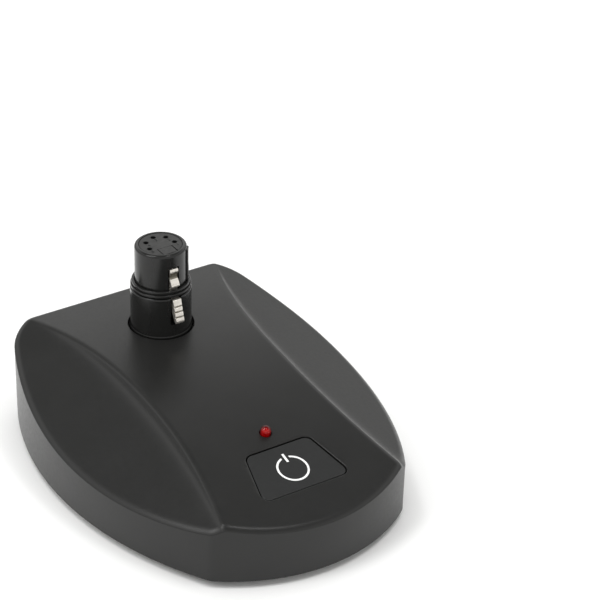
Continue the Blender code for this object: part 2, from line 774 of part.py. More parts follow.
# Bosses grow into the middle of the wall, so they never show outside
half_wall = WALL / 2
middle_form = form_solid(half_wall, half_wall, 0, FOOT_HEIGHT + GAP, *INNER_GRID)
boss_limit = cutter("boss_limit", mesh_from(middle_form, "boss_limit"))
boss_groups = [
    ("base_bosses", BOSS_RADIUS, PLATE_TOP + GAP, FOOT_HEIGHT + HEIGHT, base_screw_places, None),
    ("bracket_bosses", SMALL_BOSS_RADIUS, bracket_top + GAP, WALL, bracket_screw_places, socket_frame),
    ("board_bosses", SMALL_BOSS_RADIUS, board_top + GAP, WALL, board_screw_places, button_frame),
    ("outlet_bosses", SMALL_BOSS_RADIUS, outlet_board_face + GAP, WALL, outlet_screw_places, outlet_frame),
]
for name, radius, low, high, places, frame in boss_groups:
    bosses = cutter(name, rod(name, radius, low, high, SMALL_ROUND, places), frame)
    boolean(bosses, boss_limit, "INTERSECT")
    boolean(top_housing, bosses, "UNION")

base_pilot_top = PLATE_TOP + SCREW_REACH + PILOT_SLACK
small_pilot = SMALL_SCREW_REACH + PILOT_SLACK
pilot_groups = [
    ("base_pilots", SCREW_RADIUS, PLATE_TOP, base_pilot_top, base_screw_places, None),
    ("bracket_pilots", SMALL_SCREW_RADIUS, bracket_top, -WALL, bracket_screw_places, socket_frame),
    ("board_pilots", SMALL_SCREW_RADIUS, board_top, board_top + small_pilot, board_screw_places, button_frame),
    ("outlet_pilots", SMALL_SCREW_RADIUS, outlet_board_face, outlet_board_face + small_pilot,
     outlet_screw_places, outlet_frame),
]
for name, radius, low, high, places, frame in pilot_groups:
    boolean(top_housing, cutter(name, rod(name, radius + GAP, low, high, TINY_ROUND, places), frame))

through = 2 * WALL
hole_mesh = rod("socket_hole", SOCKET_HOLE, -through, through, LARGE_ROUND)
boolean(top_housing, cutter("socket_hole", hole_mesh, socket_frame))
hole_mesh = plate("button_hole", [button_outline(0)], -through, through)
boolean(top_housing, cutter("button_hole", hole_mesh, button_frame))
hole_mesh = rod("lamp_hole", LAMP_RADIUS + GAP / 2, -through, through)
boolean(top_housing, cutter("lamp_hole", hole_mesh, button_frame, (0, lamp_y, 0)))
hole_mesh = rod("outlet_hole", OUTLET_RADIUS, -WALL - GAP / 2, WALL, LARGE_ROUND)
boolean(top_housing, cutter("outlet_hole", hole_mesh, outlet_frame))

# Keyway beside the outlet's hole, through the wall and the well's lip
notch_half = NOTCH_WIDTH / 2
notch_loop = [(0, -notch_half), (NOTCH_REACH, -notch_half), (NOTCH_REACH, notch_half), (0, notch_half)]
notch_mesh = plate("outlet_notch", [notch_loop], lip_depth, WALL)
notch_mesh.transform(Matrix.Rotation(NOTCH_ANGLE, 4, "Z"))
outlet_notch = cutter("outlet_notch", notch_mesh, outlet_frame)
boolean(top_housing, outlet_notch)


# Underside: steel plate, countersunk screws and rubber feet

plate_mesh = plate("base_plate", [plan_loop(WALL + GAP)], PLATE_BOTTOM, PLATE_TOP)
base_plate = part("base_plate", plate_mesh, STEEL)
cone_low = PLATE_BOTTOM + GAP / 2
cone_high = PLATE_BOTTOM + SCREW_HEAD_HEIGHT
sink_profile = [
    (0, PLATE_TOP + GAP), (SCREW_RADIUS + GAP, PLATE_TOP + GAP), (SCREW_RADIUS + GAP, cone_high + GAP),
    (SCREW_HEAD_RADIUS + GAP, cone_low), (SCREW_HEAD_RADIUS + GAP, PLATE_BOTTOM - GAP),
    (0, PLATE_BOTTOM - GAP),
]
screw_tip = PLATE_TOP + SCREW_REACH
screw_profile = [
    (0, screw_tip), (SCREW_RADIUS - SCREW_TIP, screw_tip), (SCREW_RADIUS, screw_tip - SCREW_TIP),
    (SCREW_RADIUS, cone_high), (SCREW_HEAD_RADIUS, cone_low), (SCREW_HEAD_RADIUS, PLATE_BOTTOM),
    (0, PLATE_BOTTOM),
]
for index, (x, y) in enumerate(base_screw_places, 1):
    sink_mesh = turned("base_sink", sink_profile, SMALL_ROUND)
    boolean(base_plate, cutter(f"base_sink_{index}", sink_mesh, None, (x, y, 0)))
    part(f"base_screw_{index}", turned("base_screw", screw_profile, TINY_ROUND), STEEL, None, (x, y, 0))

foot_profile = [
    (0, FOOT_HEIGHT), (FOOT_RADIUS, FOOT_HEIGHT), (FOOT_RADIUS, FOOT_CHAMFER),
    (FOOT_RADIUS - FOOT_CHAMFER, 0), (FOOT_RECESS_RADIUS, 0),
    (FOOT_RECESS_RADIUS - FOOT_CHAMFER / 2, FOOT_RECESS), (0, FOOT_RECESS),
]
foot_reach = WALL + FOOT_INSET + FOOT_RADIUS
foot_corners = [corner_place(corner, foot_reach) for corner in (FRONT_CORNER, REAR_CORNER)]
foot_places = [(side * place.x, place.y) for place in foot_corners for side in (-1, 1)]
for index, (x, y) in enumerate(foot_places, 1):
    part(f"rubber_foot_{index}", turned("rubber_foot", foot_profile, SMALL_ROUND), RUBBER, None, (x, y, 0))


# Button: cap with a flange under the wall and a stem onto the switch

cap_mesh = plate("power_button", [button_outline(-BUTTON_GAP)], flange_high - GAP, -BUTTON_RECESS)
power_button = part("power_button", cap_mesh, BUTTON_GREY, button_frame)
edge_round = power_button.modifiers.new("edge", "BEVEL")
edge_round.width = BUTTON_GAP
edge_round.segments = 2
edge_round.limit_method = "ANGLE"
edge_round.angle_limit = radians(60)
skirt_mesh = plate("button_skirt", [button_outline(BUTTON_FLANGE)], flange_low, flange_high)
boolean(power_button, cutter("button_skirt", skirt_mesh, button_frame), "UNION")
stem_mesh = rod("button_stem", STEM_RADIUS, stem_low, flange_high)
boolean(power_button, cutter("button_stem", stem_mesh, button_frame), "UNION")


# Switch, its plunger and the button's return spring

switch_half = SWITCH_SIDE / 2
switch_mesh = block("switch_body", (-switch_half, -switch_half, switch_base),
                    (switch_half, switch_half, switch_top))
switch_body = part("switch_body", switch_mesh, INSERT_BLACK, button_frame, smooth=False)
bore_mesh = rod("switch_bore", PLUNGER_RADIUS + GAP, switch_floor, switch_top + GAP)
boolean(switch_body, cutter("switch_bore", bore_mesh, button_frame))
plunger_profile = [
    (0, plunger_top), (PLUNGER_RADIUS - GAP, plunger_top), (PLUNGER_RADIUS, plunger_top - GAP),
    (PLUNGER_RADIUS, plunger_low), (0, plunger_low),
]
part("switch_plunger", turned("switch_plunger", plunger_profile, SMALL_ROUND), INSERT_BLACK, button_frame)

spring_radius = switch_half * sqrt(2) + SPRING_GAP + SPRING_WIRE
spring_low = switch_base + SPRING_WIRE
spring_high = flange_low - GAP - SPRING_WIRE
spring_count = round(SPRING_TURNS * TINY_ROUND)
spring_points = []
for step in range(spring_count + 1):
    turn = 2 * pi * SPRING_TURNS * step / spring_count
    height = spring_low + (spring_high - spring_low) * step / spring_count
    spring_points.append((spring_radius * cos(turn), spring_radius * sin(turn), height))
part("button_spring", tube("button_spring", spring_points, SPRING_WIRE, 1), STEEL, button_frame)


# Control board with the lamp behind the button

board_corners = [(-board_half, -CONTROL_BOARD_FRONT), (board_half, -CONTROL_BOARD_FRONT),
                 (board_half, board_rear), (-board_half, board_rear)]
lead_places = [(side * LEAD_SPREAD, lamp_y) for side in (-1, 1)]
board_loops = [rounded(board_corners, BOARD_CORNER)]
board_loops += [circle(SMALL_SCREW_RADIUS + GAP, centre=place) for place in board_screw_places]
board_loops += [circle(LEAD_RADIUS + GAP, centre=place) for place in lead_places]
board_mesh = plate("control_board", board_loops, board_bottom, board_top)
part("control_board", board_mesh, BOARD_GREEN, button_frame, smooth=False)
for index, place in enumerate(board_screw_places, 1):
    pan_screw(f"board_screw_{index}", board_bottom - GAP, board_top + SMALL_SCREW_REACH, place, button_frame)

lamp_top = LAMP_STAND - lamp_drop
lamp_flange_high = -WALL - lamp_drop - 2 * GAP
lamp_low = lamp_flange_high - LAMP_FLANGE_THICKNESS
dome = arc((0, lamp_top - LAMP_RADIUS), LAMP_RADIUS, pi / 2, 0, 6)
dome[0] = (0, lamp_top)
lamp_profile = dome + [
    (LAMP_RADIUS, lamp_flange_high), (LAMP_RADIUS + LAMP_FLANGE, lamp_flange_high),
    (LAMP_RADIUS + LAMP_FLANGE, lamp_low), (0, lamp_low),
]
lamp_mesh = turned("status_lamp", lamp_profile, SMALL_ROUND)
part("status_lamp", lamp_mesh, LAMP_RED, button_frame, (0, lamp_y, 0))
for index, (x, y) in enumerate(lead_places, 1):
    lead_mesh = rod("lamp_lead", LEAD_RADIUS, board_bottom - LEAD_TAIL, lamp_low - GAP, 8)
    part(f"lamp_lead_{index}", lead_mesh, CONTACT_SILVER, button_frame, (x, y, 0))


# Top socket: turned shell with a flange under the wall, a latch slot and a key rib

shell_profile = [
    (SHELL_BORE, SOCKET_HEIGHT), (NOSE_TIP_RADIUS - SHELL_CHAMFER, SOCKET_HEIGHT),
    (NOSE_TIP_RADIUS, SOCKET_HEIGHT - SHELL_CHAMFER), (NOSE_TIP_RADIUS, body_top),
    (BODY_RADIUS - SHELL_CHAMFER, body_top), (BODY_RADIUS, body_top - SHELL_CHAMFER),
    (BODY_RADIUS, GAP), (BODY_RADIUS + BODY_LIP, 0), (BODY_RADIUS + BODY_LIP, flange_top),
    (FLANGE_RADIUS, flange_top), (FLANGE_RADIUS, flange_bottom), (BODY_RADIUS, flange_bottom),
    (BODY_RADIUS, spigot_low), (SHELL_BORE, spigot_low),
]
shell_mesh = turned("socket_shell", shell_profile, LARGE_ROUND, True)
socket_shell = part("socket_shell", shell_mesh, SOCKET_BLACK, socket_frame)
slot_half = LATCH_WIDTH / 2 + GAP
slot_mesh = block("latch_slot", (-slot_half, -2 * BODY_RADIUS, LATCH_SLOT_LOW),
                  (slot_half, -KEY_INNER, LATCH_SLOT_HIGH))
boolean(socket_shell, cutter("latch_slot", slot_mesh, socket_frame))
rib_mesh = block("key_rib", (NOSE_TIP_RADIUS - NOSE_WALL / 2, -RIB_WIDTH / 2, nose_low + GAP),
                 (NOSE_TIP_RADIUS + RIB_HEIGHT, RIB_WIDTH / 2, SOCKET_HEIGHT - RIB_FROM_TIP))
rib_mesh.transform(Matrix.Rotation(RIB_ANGLE, 4, "Z"))
boolean(socket_shell, cutter("key_rib", rib_mesh, socket_frame), "UNION")

# Ring with two rounded ridges on the shoulder, between the body and the nose
ring_bore = NOSE_TIP_RADIUS + GAP
ring_middle = (ring_low + nose_low) / 2
upper_ridge = NOSE_TIP_RADIUS + 1.5 * RIDGE_ROUND
lower_ridge = BODY_RADIUS - RIDGE_ROUND / 2
ring_profile = [
    (ring_bore, nose_low), (upper_ridge - RIDGE_ROUND / 2, nose_low), (upper_ridge, nose_low - RIDGE_ROUND),
    (upper_ridge - RIDGE_ROUND / 2, ring_middle), (lower_ridge, ring_middle - RIDGE_ROUND),
    (lower_ridge - RIDGE_ROUND / 2, ring_low), (ring_bore, ring_low),
]
ring_mesh = turned("coding_ring", ring_profile, LARGE_ROUND, True)
part("coding_ring", ring_mesh, SOCKET_BLACK, socket_frame)


# Socket insert with its contacts, soldered to a small round board below

insert_top = SOCKET_HEIGHT - INSERT_RECESS
insert_low = spigot_low + GAP
contact_top = insert_top - CONTACT_SINK
contact_low = spigot_low - CONTACT_TAIL
insert_mesh = rod("socket_insert", INSERT_RADIUS, insert_low, insert_top, LARGE_ROUND)
socket_insert = part("socket_insert", insert_mesh, INSERT_BLACK, socket_frame)
key_half = KEY_WIDTH / 2 + GAP
key_mesh = block("key_slot", (-key_half, -2 * INSERT_RADIUS, insert_low - GAP),
                 (key_half, GAP - KEY_INNER, insert_top + GAP))
boolean(socket_insert, cutter("key_slot", key_mesh, socket_frame))
bores = rod("contact_bores", CONTACT_RADIUS + GAP, insert_low - GAP, contact_top + GAP, TINY_ROUND,
            contact_places)
boolean(socket_insert, cutter("contact_bores", bores, socket_frame))
mouths = rod("contact_mouths", CONTACT_MOUTH, contact_top, insert_top + GAP, TINY_ROUND, contact_places)
boolean(socket_insert, cutter("contact_mouths", mouths, socket_frame))
contact_profile = [
    (CONTACT_MOUTH, contact_top), (CONTACT_RADIUS, contact_top), (CONTACT_RADIUS, contact_low),
    (0, contact_low), (0, contact_top - CONTACT_BORE), (CONTACT_MOUTH, contact_top - CONTACT_BORE),
]
for index, place in enumerate(contact_places, 1):
    contact_mesh = turned("socket_contact", contact_profile, TINY_ROUND, True)
    part(f"socket_contact_{index}", contact_mesh, CONTACT_SILVER, socket_frame, (*place, 0))

socket_board_loops = [circle(BODY_RADIUS - GAP, LARGE_ROUND)]
socket_board_loops += [circle(CONTACT_RADIUS + GAP, centre=place) for place in contact_places]
socket_board_mesh = plate("socket_board", socket_board_loops, socket_board_bottom, socket_board_top)
part("socket_board", socket_board_mesh, BOARD_GREEN, socket_frame, smooth=False)


# Latch: key block in the insert, cross pin, lever and leaf spring

across_x = Matrix.Rotation(pi / 2, 4, "Y")
side_view = Matrix(((0, 0, 1, 0), (1, 0, 0, 0), (0, 1, 0, 0), (0, 0, 0, 1)))


def cross_rod(name, radius, half):
    """Round bar along X, about the latch's pivot."""
    mesh = rod(name, radius, -half, half)
    mesh.transform(across_x)
    return mesh


key_mesh = block("key_block", (-KEY_WIDTH / 2, -INSERT_RADIUS + GAP, insert_top - KEY_LENGTH),
                 (KEY_WIDTH / 2, -KEY_INNER, insert_top))
key_block = part("key_block", key_mesh, INSERT_BLACK, socket_frame, smooth=False)
pocket_mesh = block("latch_pocket", (-slot_half, -2 * INSERT_RADIUS, 0),
                    (slot_half, -POCKET_FLOOR, LATCH_SLOT_HIGH))
boolean(key_block, cutter("latch_pocket", pocket_mesh, socket_frame))
pin_bore = cross_rod("pin_bore", LATCH_PIN_RADIUS + RUNNING_FIT, KEY_WIDTH)
boolean(key_block, cutter("pin_bore", pin_bore, latch_frame))
pin_mesh = cross_rod("latch_pin", LATCH_PIN_RADIUS, KEY_WIDTH / 2 - RUNNING_FIT)
part("latch_pin", pin_mesh, STEEL, latch_frame)

# Lever's side view as (outward radius, height): ramp, proud lip, neck behind the ring, grooved pad, back
pad_low = LATCH_SLOT_LOW + LATCH_PLAY
pad_start = Vector((BODY_RADIUS - GAP, body_top - SHELL_CHAMFER))
pad_end = Vector((BODY_RADIUS + LATCH_PAD_PROUD, pad_low + LATCH_PLAY))
pad_way = (pad_end - pad_start).normalized() * GROOVE_WIDTH / 2
grooved_pad = [pad_start]
for groove in range(1, GROOVE_COUNT + 1):
    spot = pad_start.lerp(pad_end, groove / (GROOVE_COUNT + 1))
    grooved_pad += [spot - pad_way, spot - Vector((GROOVE_DEPTH, 0)), spot + pad_way]
grooved_pad.append(pad_end)
lip_r = NOSE_TIP_RADIUS + LATCH_LIP_PROUD
lip_low = nose_low + GAP
ramp_and_lip = [
    (NOSE_TIP_RADIUS - 0.0020, LATCH_PIVOT_Z + 0.0011), (NOSE_TIP_RADIUS - 0.0002, LATCH_PIVOT_Z + 0.0010),
    (NOSE_TIP_RADIUS - 0.0006, LATCH_PIVOT_Z - 0.0002), (NOSE_TIP_RADIUS - 0.0008, LATCH_PIVOT_Z - 0.0011),
    (NOSE_TIP_RADIUS - 0.0004, LATCH_PIVOT_Z - 0.0016), (lip_r - 0.0005, lip_low + 0.0022),
    (lip_r, lip_low + 0.0009), (lip_r - 0.0003, lip_low + 0.0002), (NOSE_TIP_RADIUS, lip_low),
    (NOSE_TIP_RADIUS - 0.0002, body_top - 0.0001),
]
pad_foot = [
    (pad_end.x - 0.0003, pad_low + 0.0002), (pad_end.x - 0.0009, pad_low),
    (BODY_RADIUS, pad_low + 0.0006), (BODY_RADIUS - 0.0006, pad_low + 0.0049),
]
back = [
    (NOSE_TIP_RADIUS - 0.0010, body_top - 0.0008), (NOSE_TIP_RADIUS - 0.0014, lip_low),
    (NOSE_TIP_RADIUS - 0.0024, LATCH_PIVOT_Z - 0.0008),
]
lever_side = ramp_and_lip + [tuple(point) for point in grooved_pad] + pad_foot + back
lever_loop = [(LATCH_PIVOT_R - radius, height - LATCH_PIVOT_Z) for radius, height in lever_side]
lever_mesh = plate("latch_lever", [lever_loop], -LATCH_WIDTH / 2, LATCH_WIDTH / 2)
lever_mesh.transform(side_view)
latch_lever = part("latch_lever", lever_mesh, LATCH_NICKEL, latch_frame, smooth=False)
eye_mesh = cross_rod("latch_eye", LATCH_EYE_RADIUS, LATCH_WIDTH / 2)
boolean(latch_lever, cutter("latch_eye", eye_mesh, latch_frame), "UNION")
eye_bore = cross_rod("latch_bore", LATCH_PIN_RADIUS + RUNNING_FIT, LATCH_WIDTH)
boolean(latch_lever, cutter("latch_bore", eye_bore, latch_frame))

# Leaf from the pocket's floor out to the lever's back
leaf_line = [
    (POCKET_FLOOR + GAP, LATCH_PIVOT_Z - 0.0024), (POCKET_FLOOR + 0.0012, LATCH_PIVOT_Z - 0.0048),
    (NOSE_TIP_RADIUS - 0.0020, LATCH_PIVOT_Z - 0.0070),
]
leaf_back = [(radius + LEAF_THICKNESS, height) for radius, height in reversed(leaf_line)]
leaf_loop = [(-radius, height) for radius, height in leaf_line + leaf_back]
leaf_half = LATCH_WIDTH / 2 - GAP
leaf_mesh = plate("latch_spring", [leaf_loop], -leaf_half, leaf_half)
leaf_mesh.transform(side_view)
part("latch_spring", leaf_mesh, STEEL, socket_frame, smooth=False)


# Bracket that holds the socket's flange up against the housing

lean = acos((FLANGE_RADIUS - BRACKET_EAR) / bracket_screw_x)
bracket_loop = arc((bracket_screw_x, 0), BRACKET_EAR, -lean, lean, TINY_ROUND)
bracket_loop += arc((0, 0), FLANGE_RADIUS, lean, pi - lean, TINY_ROUND)
bracket_loop += arc((-bracket_screw_x, 0), BRACKET_EAR, pi - lean, pi + lean, TINY_ROUND)
bracket_loop += arc((0, 0), FLANGE_RADIUS, pi + lean, 2 * pi - lean, TINY_ROUND)
bracket_loops = [bracket_loop, circle(BODY_RADIUS + GAP, LARGE_ROUND)]
bracket_loops += [circle(SMALL_SCREW_RADIUS + GAP, centre=place) for place in bracket_screw_places]
bracket_mesh = plate("socket_bracket", bracket_loops, bracket_bottom, bracket_top)
part("socket_bracket", bracket_mesh, STEEL, socket_frame, smooth=False)
for index, place in enumerate(bracket_screw_places, 1):
    pan_screw(f"bracket_screw_{index}", bracket_bottom - GAP, -WALL - GAP, place, socket_frame)


# Rear outlet: stepped well, board behind it, five pins through the board

step_radius = OUTLET_RADIUS + OUTLET_STEP
well_profile = [
    (OUTLET_RADIUS, well_front), (WELL_OUTER - WELL_CHAMFER, well_front),
    (WELL_OUTER, well_front - WELL_CHAMFER), (WELL_OUTER, -OUTLET_DEPTH),
    (step_radius, -OUTLET_DEPTH), (step_radius, lip_depth), (OUTLET_RADIUS, lip_depth),
]
well_mesh = turned("outlet_well", well_profile, LARGE_ROUND, True)
outlet_well = part("outlet_well", well_mesh, SOCKET_BLACK, outlet_frame)
boolean(outlet_well, outlet_notch)

# Board: tall enough in the middle to close the well, narrow at the two screws
outlet_half = outlet_screw_x + BOARD_EDGE
outlet_tall = step_radius + GAP
ear_half = BOARD_EDGE + BOARD_CORNER
outlet_corners = [
    (-outlet_half, -ear_half), (-OUTLET_RADIUS, -outlet_tall), (OUTLET_RADIUS, -outlet_tall),
    (outlet_half, -ear_half), (outlet_half, ear_half), (OUTLET_RADIUS, outlet_tall),
    (-OUTLET_RADIUS, outlet_tall), (-outlet_half, ear_half),
]
outlet_loops = [rounded(outlet_corners, BOARD_CORNER, 3)]
outlet_loops += [circle(PIN_RADIUS + GAP, centre=place) for place in pin_places]
outlet_loops += [circle(SMALL_SCREW_RADIUS + GAP, centre=place) for place in outlet_screw_places]
outlet_board_mesh = plate("outlet_board", outlet_loops, outlet_board_back, outlet_board_face)
part("outlet_board", outlet_board_mesh, BOARD_GREEN, outlet_frame, smooth=False)

pin_low = outlet_board_back - PIN_TAIL
pin_profile = [
    (0, -PIN_TIP_DEPTH), (PIN_RADIUS - PIN_POINT / 2, -PIN_TIP_DEPTH - PIN_POINT / 6),
    (PIN_RADIUS, -PIN_TIP_DEPTH - PIN_POINT), (PIN_RADIUS, pin_low), (0, pin_low),
]
for index, place in enumerate(pin_places, 1):
    pin_mesh = turned("outlet_pin", pin_profile, TINY_ROUND)
    part(f"outlet_pin_{index}", pin_mesh, CONTACT_SILVER, outlet_frame, (*place, 0))
outlet_screw_tip = outlet_board_face + SMALL_SCREW_REACH
for index, place in enumerate(outlet_screw_places, 1):
    pan_screw(f"outlet_screw_{index}", outlet_board_back - GAP, outlet_screw_tip, place, outlet_frame)


# Inner cables, from the socket's board to the control board and on to the outlet's board

def pulled(point, way):
    """Handle of a cable's curve: straight on, or as far down as the plate leaves room for."""
    if way.z == 0:
        return point + way * CABLE_PULL
    floor = PLATE_TOP + CABLE_RADIUS + CABLE_FLOOR_GAP
    return point + way * (floor - point.z) / way.z


def bend(start, start_way, end, end_way):
    """Points along a cable that leaves and arrives square, with a straight stub at each end."""
    first = start + start_way * CABLE_STUB
    last = end + end_way * CABLE_STUB
    lead = pulled(first, start_way)
    tail = pulled(last, end_way)
    points = [start]
    for step in range(CABLE_STEPS + 1):
        along = step / CABLE_STEPS
        left = 1 - along
        early = first * left ** 3 + lead * 3 * left ** 2 * along
        late = tail * 3 * left * along ** 2 + last * along ** 3
        points.append(early + late)
    return points + [end]


tilted = Matrix.Translation((0, BUTTON_Y, crown(BUTTON_Y))) @ Matrix.Rotation(TILT, 4, "X")
down = Vector((0, 0, -1))
forward = Vector((0, -1, 0))
board_down = tilted.to_3x3() @ down
cable_y = board_rear - CABLE_BOARD_INSET
socket_end = Vector((0, SOCKET_Y, crown(SOCKET_Y) + socket_board_bottom - GAP))
audio_end = tilted @ Vector((-CABLE_BOARD_X, cable_y, board_bottom - GAP))
outlet_start = tilted @ Vector((CABLE_BOARD_X, cable_y, board_bottom - GAP))
outlet_end = Vector((outlet_x - CABLE_OUTLET_X, REAR + outlet_board_back - GAP, outlet_z - CABLE_OUTLET_DROP))
audio_points = bend(socket_end, down, audio_end, board_down)
outlet_points = bend(outlet_start, board_down, outlet_end, forward)
part("audio_cable", tube("audio_cable", audio_points, CABLE_RADIUS, 2), CABLE_GREY)
part("outlet_cable", tube("outlet_cable", outlet_points, CABLE_RADIUS, 2), CABLE_GREY)
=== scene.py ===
import json
from math import asin, atan2, cos, exp, pi, radians, sin, sqrt, tan

import bmesh
import bpy
from mathutils import Matrix, Vector


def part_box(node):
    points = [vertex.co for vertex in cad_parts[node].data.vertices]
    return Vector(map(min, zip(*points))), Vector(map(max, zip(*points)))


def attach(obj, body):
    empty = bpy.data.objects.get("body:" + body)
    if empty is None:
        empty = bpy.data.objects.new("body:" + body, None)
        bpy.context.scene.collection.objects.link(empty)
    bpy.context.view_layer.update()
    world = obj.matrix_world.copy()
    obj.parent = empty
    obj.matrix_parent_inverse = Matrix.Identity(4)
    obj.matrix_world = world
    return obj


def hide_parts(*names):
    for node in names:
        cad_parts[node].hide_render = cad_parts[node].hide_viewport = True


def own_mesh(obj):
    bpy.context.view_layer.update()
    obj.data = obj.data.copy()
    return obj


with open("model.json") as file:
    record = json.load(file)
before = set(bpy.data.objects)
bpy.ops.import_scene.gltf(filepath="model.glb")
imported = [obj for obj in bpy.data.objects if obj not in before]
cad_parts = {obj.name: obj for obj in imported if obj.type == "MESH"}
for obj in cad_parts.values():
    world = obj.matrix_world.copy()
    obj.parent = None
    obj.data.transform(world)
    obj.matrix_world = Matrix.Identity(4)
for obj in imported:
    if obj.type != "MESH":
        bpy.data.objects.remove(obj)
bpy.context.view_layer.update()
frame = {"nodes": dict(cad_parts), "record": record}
gap = 0.0003  # between neighbours, as in the frame
weld = 1e-7  # points nearer than this are one point
cutAbove = 0.0004  # how far a cutter stands over the surface that it cuts


def toScene(name, data):
    item = bpy.data.objects.new(name, data)
    bpy.context.scene.collection.objects.link(item)
    return item


# camera at the photo's place

shot = {
    "azimuth": -31.4067,
    "elevation": 33.9577,
    "roll": 0.3764,
    "place": (-0.294396, -0.476006, 0.399244),
    "lens": 134.6917,
    "sensor": 36.0,
    "shift": (0.15, 0.17667),  # the object stands low and left in its picture
    "clip": 0.02,
}


def setCamera():
    data = bpy.data.cameras.new("photoCamera")
    data.lens = shot["lens"]
    data.sensor_width = shot["sensor"]
    data.shift_x, data.shift_y = shot["shift"]
    data.clip_start = shot["clip"]
    azimuth, elevation, roll = (radians(shot[key]) for key in ("azimuth", "elevation", "roll"))
    back = Vector((sin(azimuth) * cos(elevation), -cos(azimuth) * cos(elevation), sin(elevation)))
    right = Vector((cos(azimuth), sin(azimuth), 0))
    up = back.cross(right)
    axes = (right * cos(roll) + up * sin(roll), up * cos(roll) - right * sin(roll), back)
    camera = toScene("photoCamera", data)
    camera.matrix_world = Matrix.Translation(shot["place"]) @ Matrix(axes).transposed().to_4x4()
    bpy.context.scene.camera = camera


setCamera()
print("camera set")


# modelling helpers

def middleOf(name):
    low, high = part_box(name)
    return (low + high) / 2


def over(name):
    # carries what is made round the Z axis to a node's place in the plan
    spot = middleOf(name)
    return Matrix.Translation((spot.x, spot.y, 0))


def toMesh(name, bm):
    mesh = bpy.data.meshes.new(name)
    bm.to_mesh(mesh)
    bm.free()
    return mesh


def mend(bm):
    bmesh.ops.remove_doubles(bm, verts=bm.verts, dist=weld)
    bmesh.ops.recalc_face_normals(bm, faces=bm.faces)


def newPiece(name, bm, slot, node=None, body="base", material=None, sharp=40):
    mend(bm)
    mesh = toMesh(name, bm)
    mesh.shade_smooth()
    mesh.set_sharp_from_angle(angle=radians(sharp))
    mesh.materials.append(material or slotFinish[slot])
    piece = toScene(name, mesh)
    even = piece.modifiers.new("even", "WEIGHTED_NORMAL")  # keeps flat faces flat beside round edges
    even.keep_sharp = True
    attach(piece, body)
    if node:
        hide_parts(node)
    return piece


def drawLine(bm, points, closed=False):
    dots = [bm.verts.new((across, 0, height)) for across, height in points]
    for first, second in zip(dots, dots[1:]):
        bm.edges.new((first, second))
    if closed:
        bm.edges.new((dots[-1], dots[0]))
    return dots


def roundDots(bm, dots, size, steps):
    bmesh.ops.bevel(bm, geom=dots, offset=size, segments=steps, affect="VERTICES", profile=0.5,
                    material=-1, clamp_overlap=True)


def roundEdges(bm, edges, size, steps, clamp=True):
    bmesh.ops.bevel(bm, geom=edges, offset=size, segments=steps, affect="EDGES", profile=0.5,
                    material=-1, clamp_overlap=clamp)


def turned(points, steps, closed=False, rounds=()):
    # a profile spun about Z; rounds say which dots are rounded first, how much and in how many steps
    bm = bmesh.new()
    dots = drawLine(bm, points, closed)
    for chosen, size, roundSteps in rounds:
        roundDots(bm, [dots[number] for number in chosen], size, roundSteps)
    bmesh.ops.spin(bm, geom=bm.verts[:] + bm.edges[:], cent=(0, 0, 0), axis=(0, 0, 1), angle=2 * pi,
                   steps=steps, use_merge=True)
    mend(bm)
    return bm


def moveAll(bm, matrix):
    bmesh.ops.transform(bm, matrix=matrix, verts=bm.verts)


def openEdges(bm):
    return [e for e in bm.edges if e.is_boundary]


def pushFace(bm, face, move):
    grown = bmesh.ops.extrude_face_region(bm, geom=[face] + list(face.edges) + list(face.verts))["geom"]
    fresh = [item for item in grown if isinstance(item, bmesh.types.BMVert)]
    bmesh.ops.translate(bm, verts=fresh, vec=move)
    return next(item for item in grown if isinstance(item, bmesh.types.BMFace))


def block(low, high):
    bm = bmesh.new()
    size = Vector(high) - Vector(low)
    middle = (Vector(high) + Vector(low)) / 2
    bmesh.ops.create_cube(bm, size=1.0, matrix=Matrix.Translation(middle) @ Matrix.Diagonal((*size, 1.0)))
    return bm


def sideSolid(points, width, corner, edge):
    # an outline in the XZ plane, its corners rounded, thickened along Y, with its two rims rounded too
    bm = bmesh.new()
    dots = drawLine(bm, points, True)
    roundDots(bm, dots, corner, 3)
    face = bmesh.ops.contextual_create(bm, geom=bm.edges[:])["faces"][0]
    bmesh.ops.translate(bm, verts=bm.verts, vec=(0, -width / 2, 0))
    far = pushFace(bm, face, (0, width, 0))
    roundEdges(bm, list(face.edges) + list(far.edges), edge, 2, False)
    bmesh.ops.recalc_face_normals(bm, faces=bm.faces)
    return bm


def drawnForm(data):
    # a text or a curve made a mesh
    drawn = bpy.data.objects.new(data.name, data)
    mesh = bpy.data.meshes.new_from_object(drawn)
    bm = bmesh.new()
    bm.from_mesh(mesh)
    bpy.data.objects.remove(drawn)
    bpy.data.curves.remove(data)
    bpy.data.meshes.remove(mesh)
    return bm


def addTo(bm, other):
    mesh = toMesh("joined", other)
    bm.from_mesh(mesh)
    bpy.data.meshes.remove(mesh)


def carve(bm, tool, operation="DIFFERENCE"):
    # a Boolean on two throwaway objects
    made = []
    for name, shape in (("carved", bm), ("carver", tool)):
        mend(shape)
        made.append(toScene(name, toMesh(name, shape)))
    cut = made[0].modifiers.new("cut", "BOOLEAN")
    cut.operation = operation
    cut.solver = "EXACT"
    cut.object = made[1]
    result = bmesh.new()
    result.from_object(made[0], bpy.context.evaluated_depsgraph_get())
    for item in made:
        mesh = item.data
        bpy.data.objects.remove(item, do_unlink=True)
        bpy.data.meshes.remove(mesh)
    return result


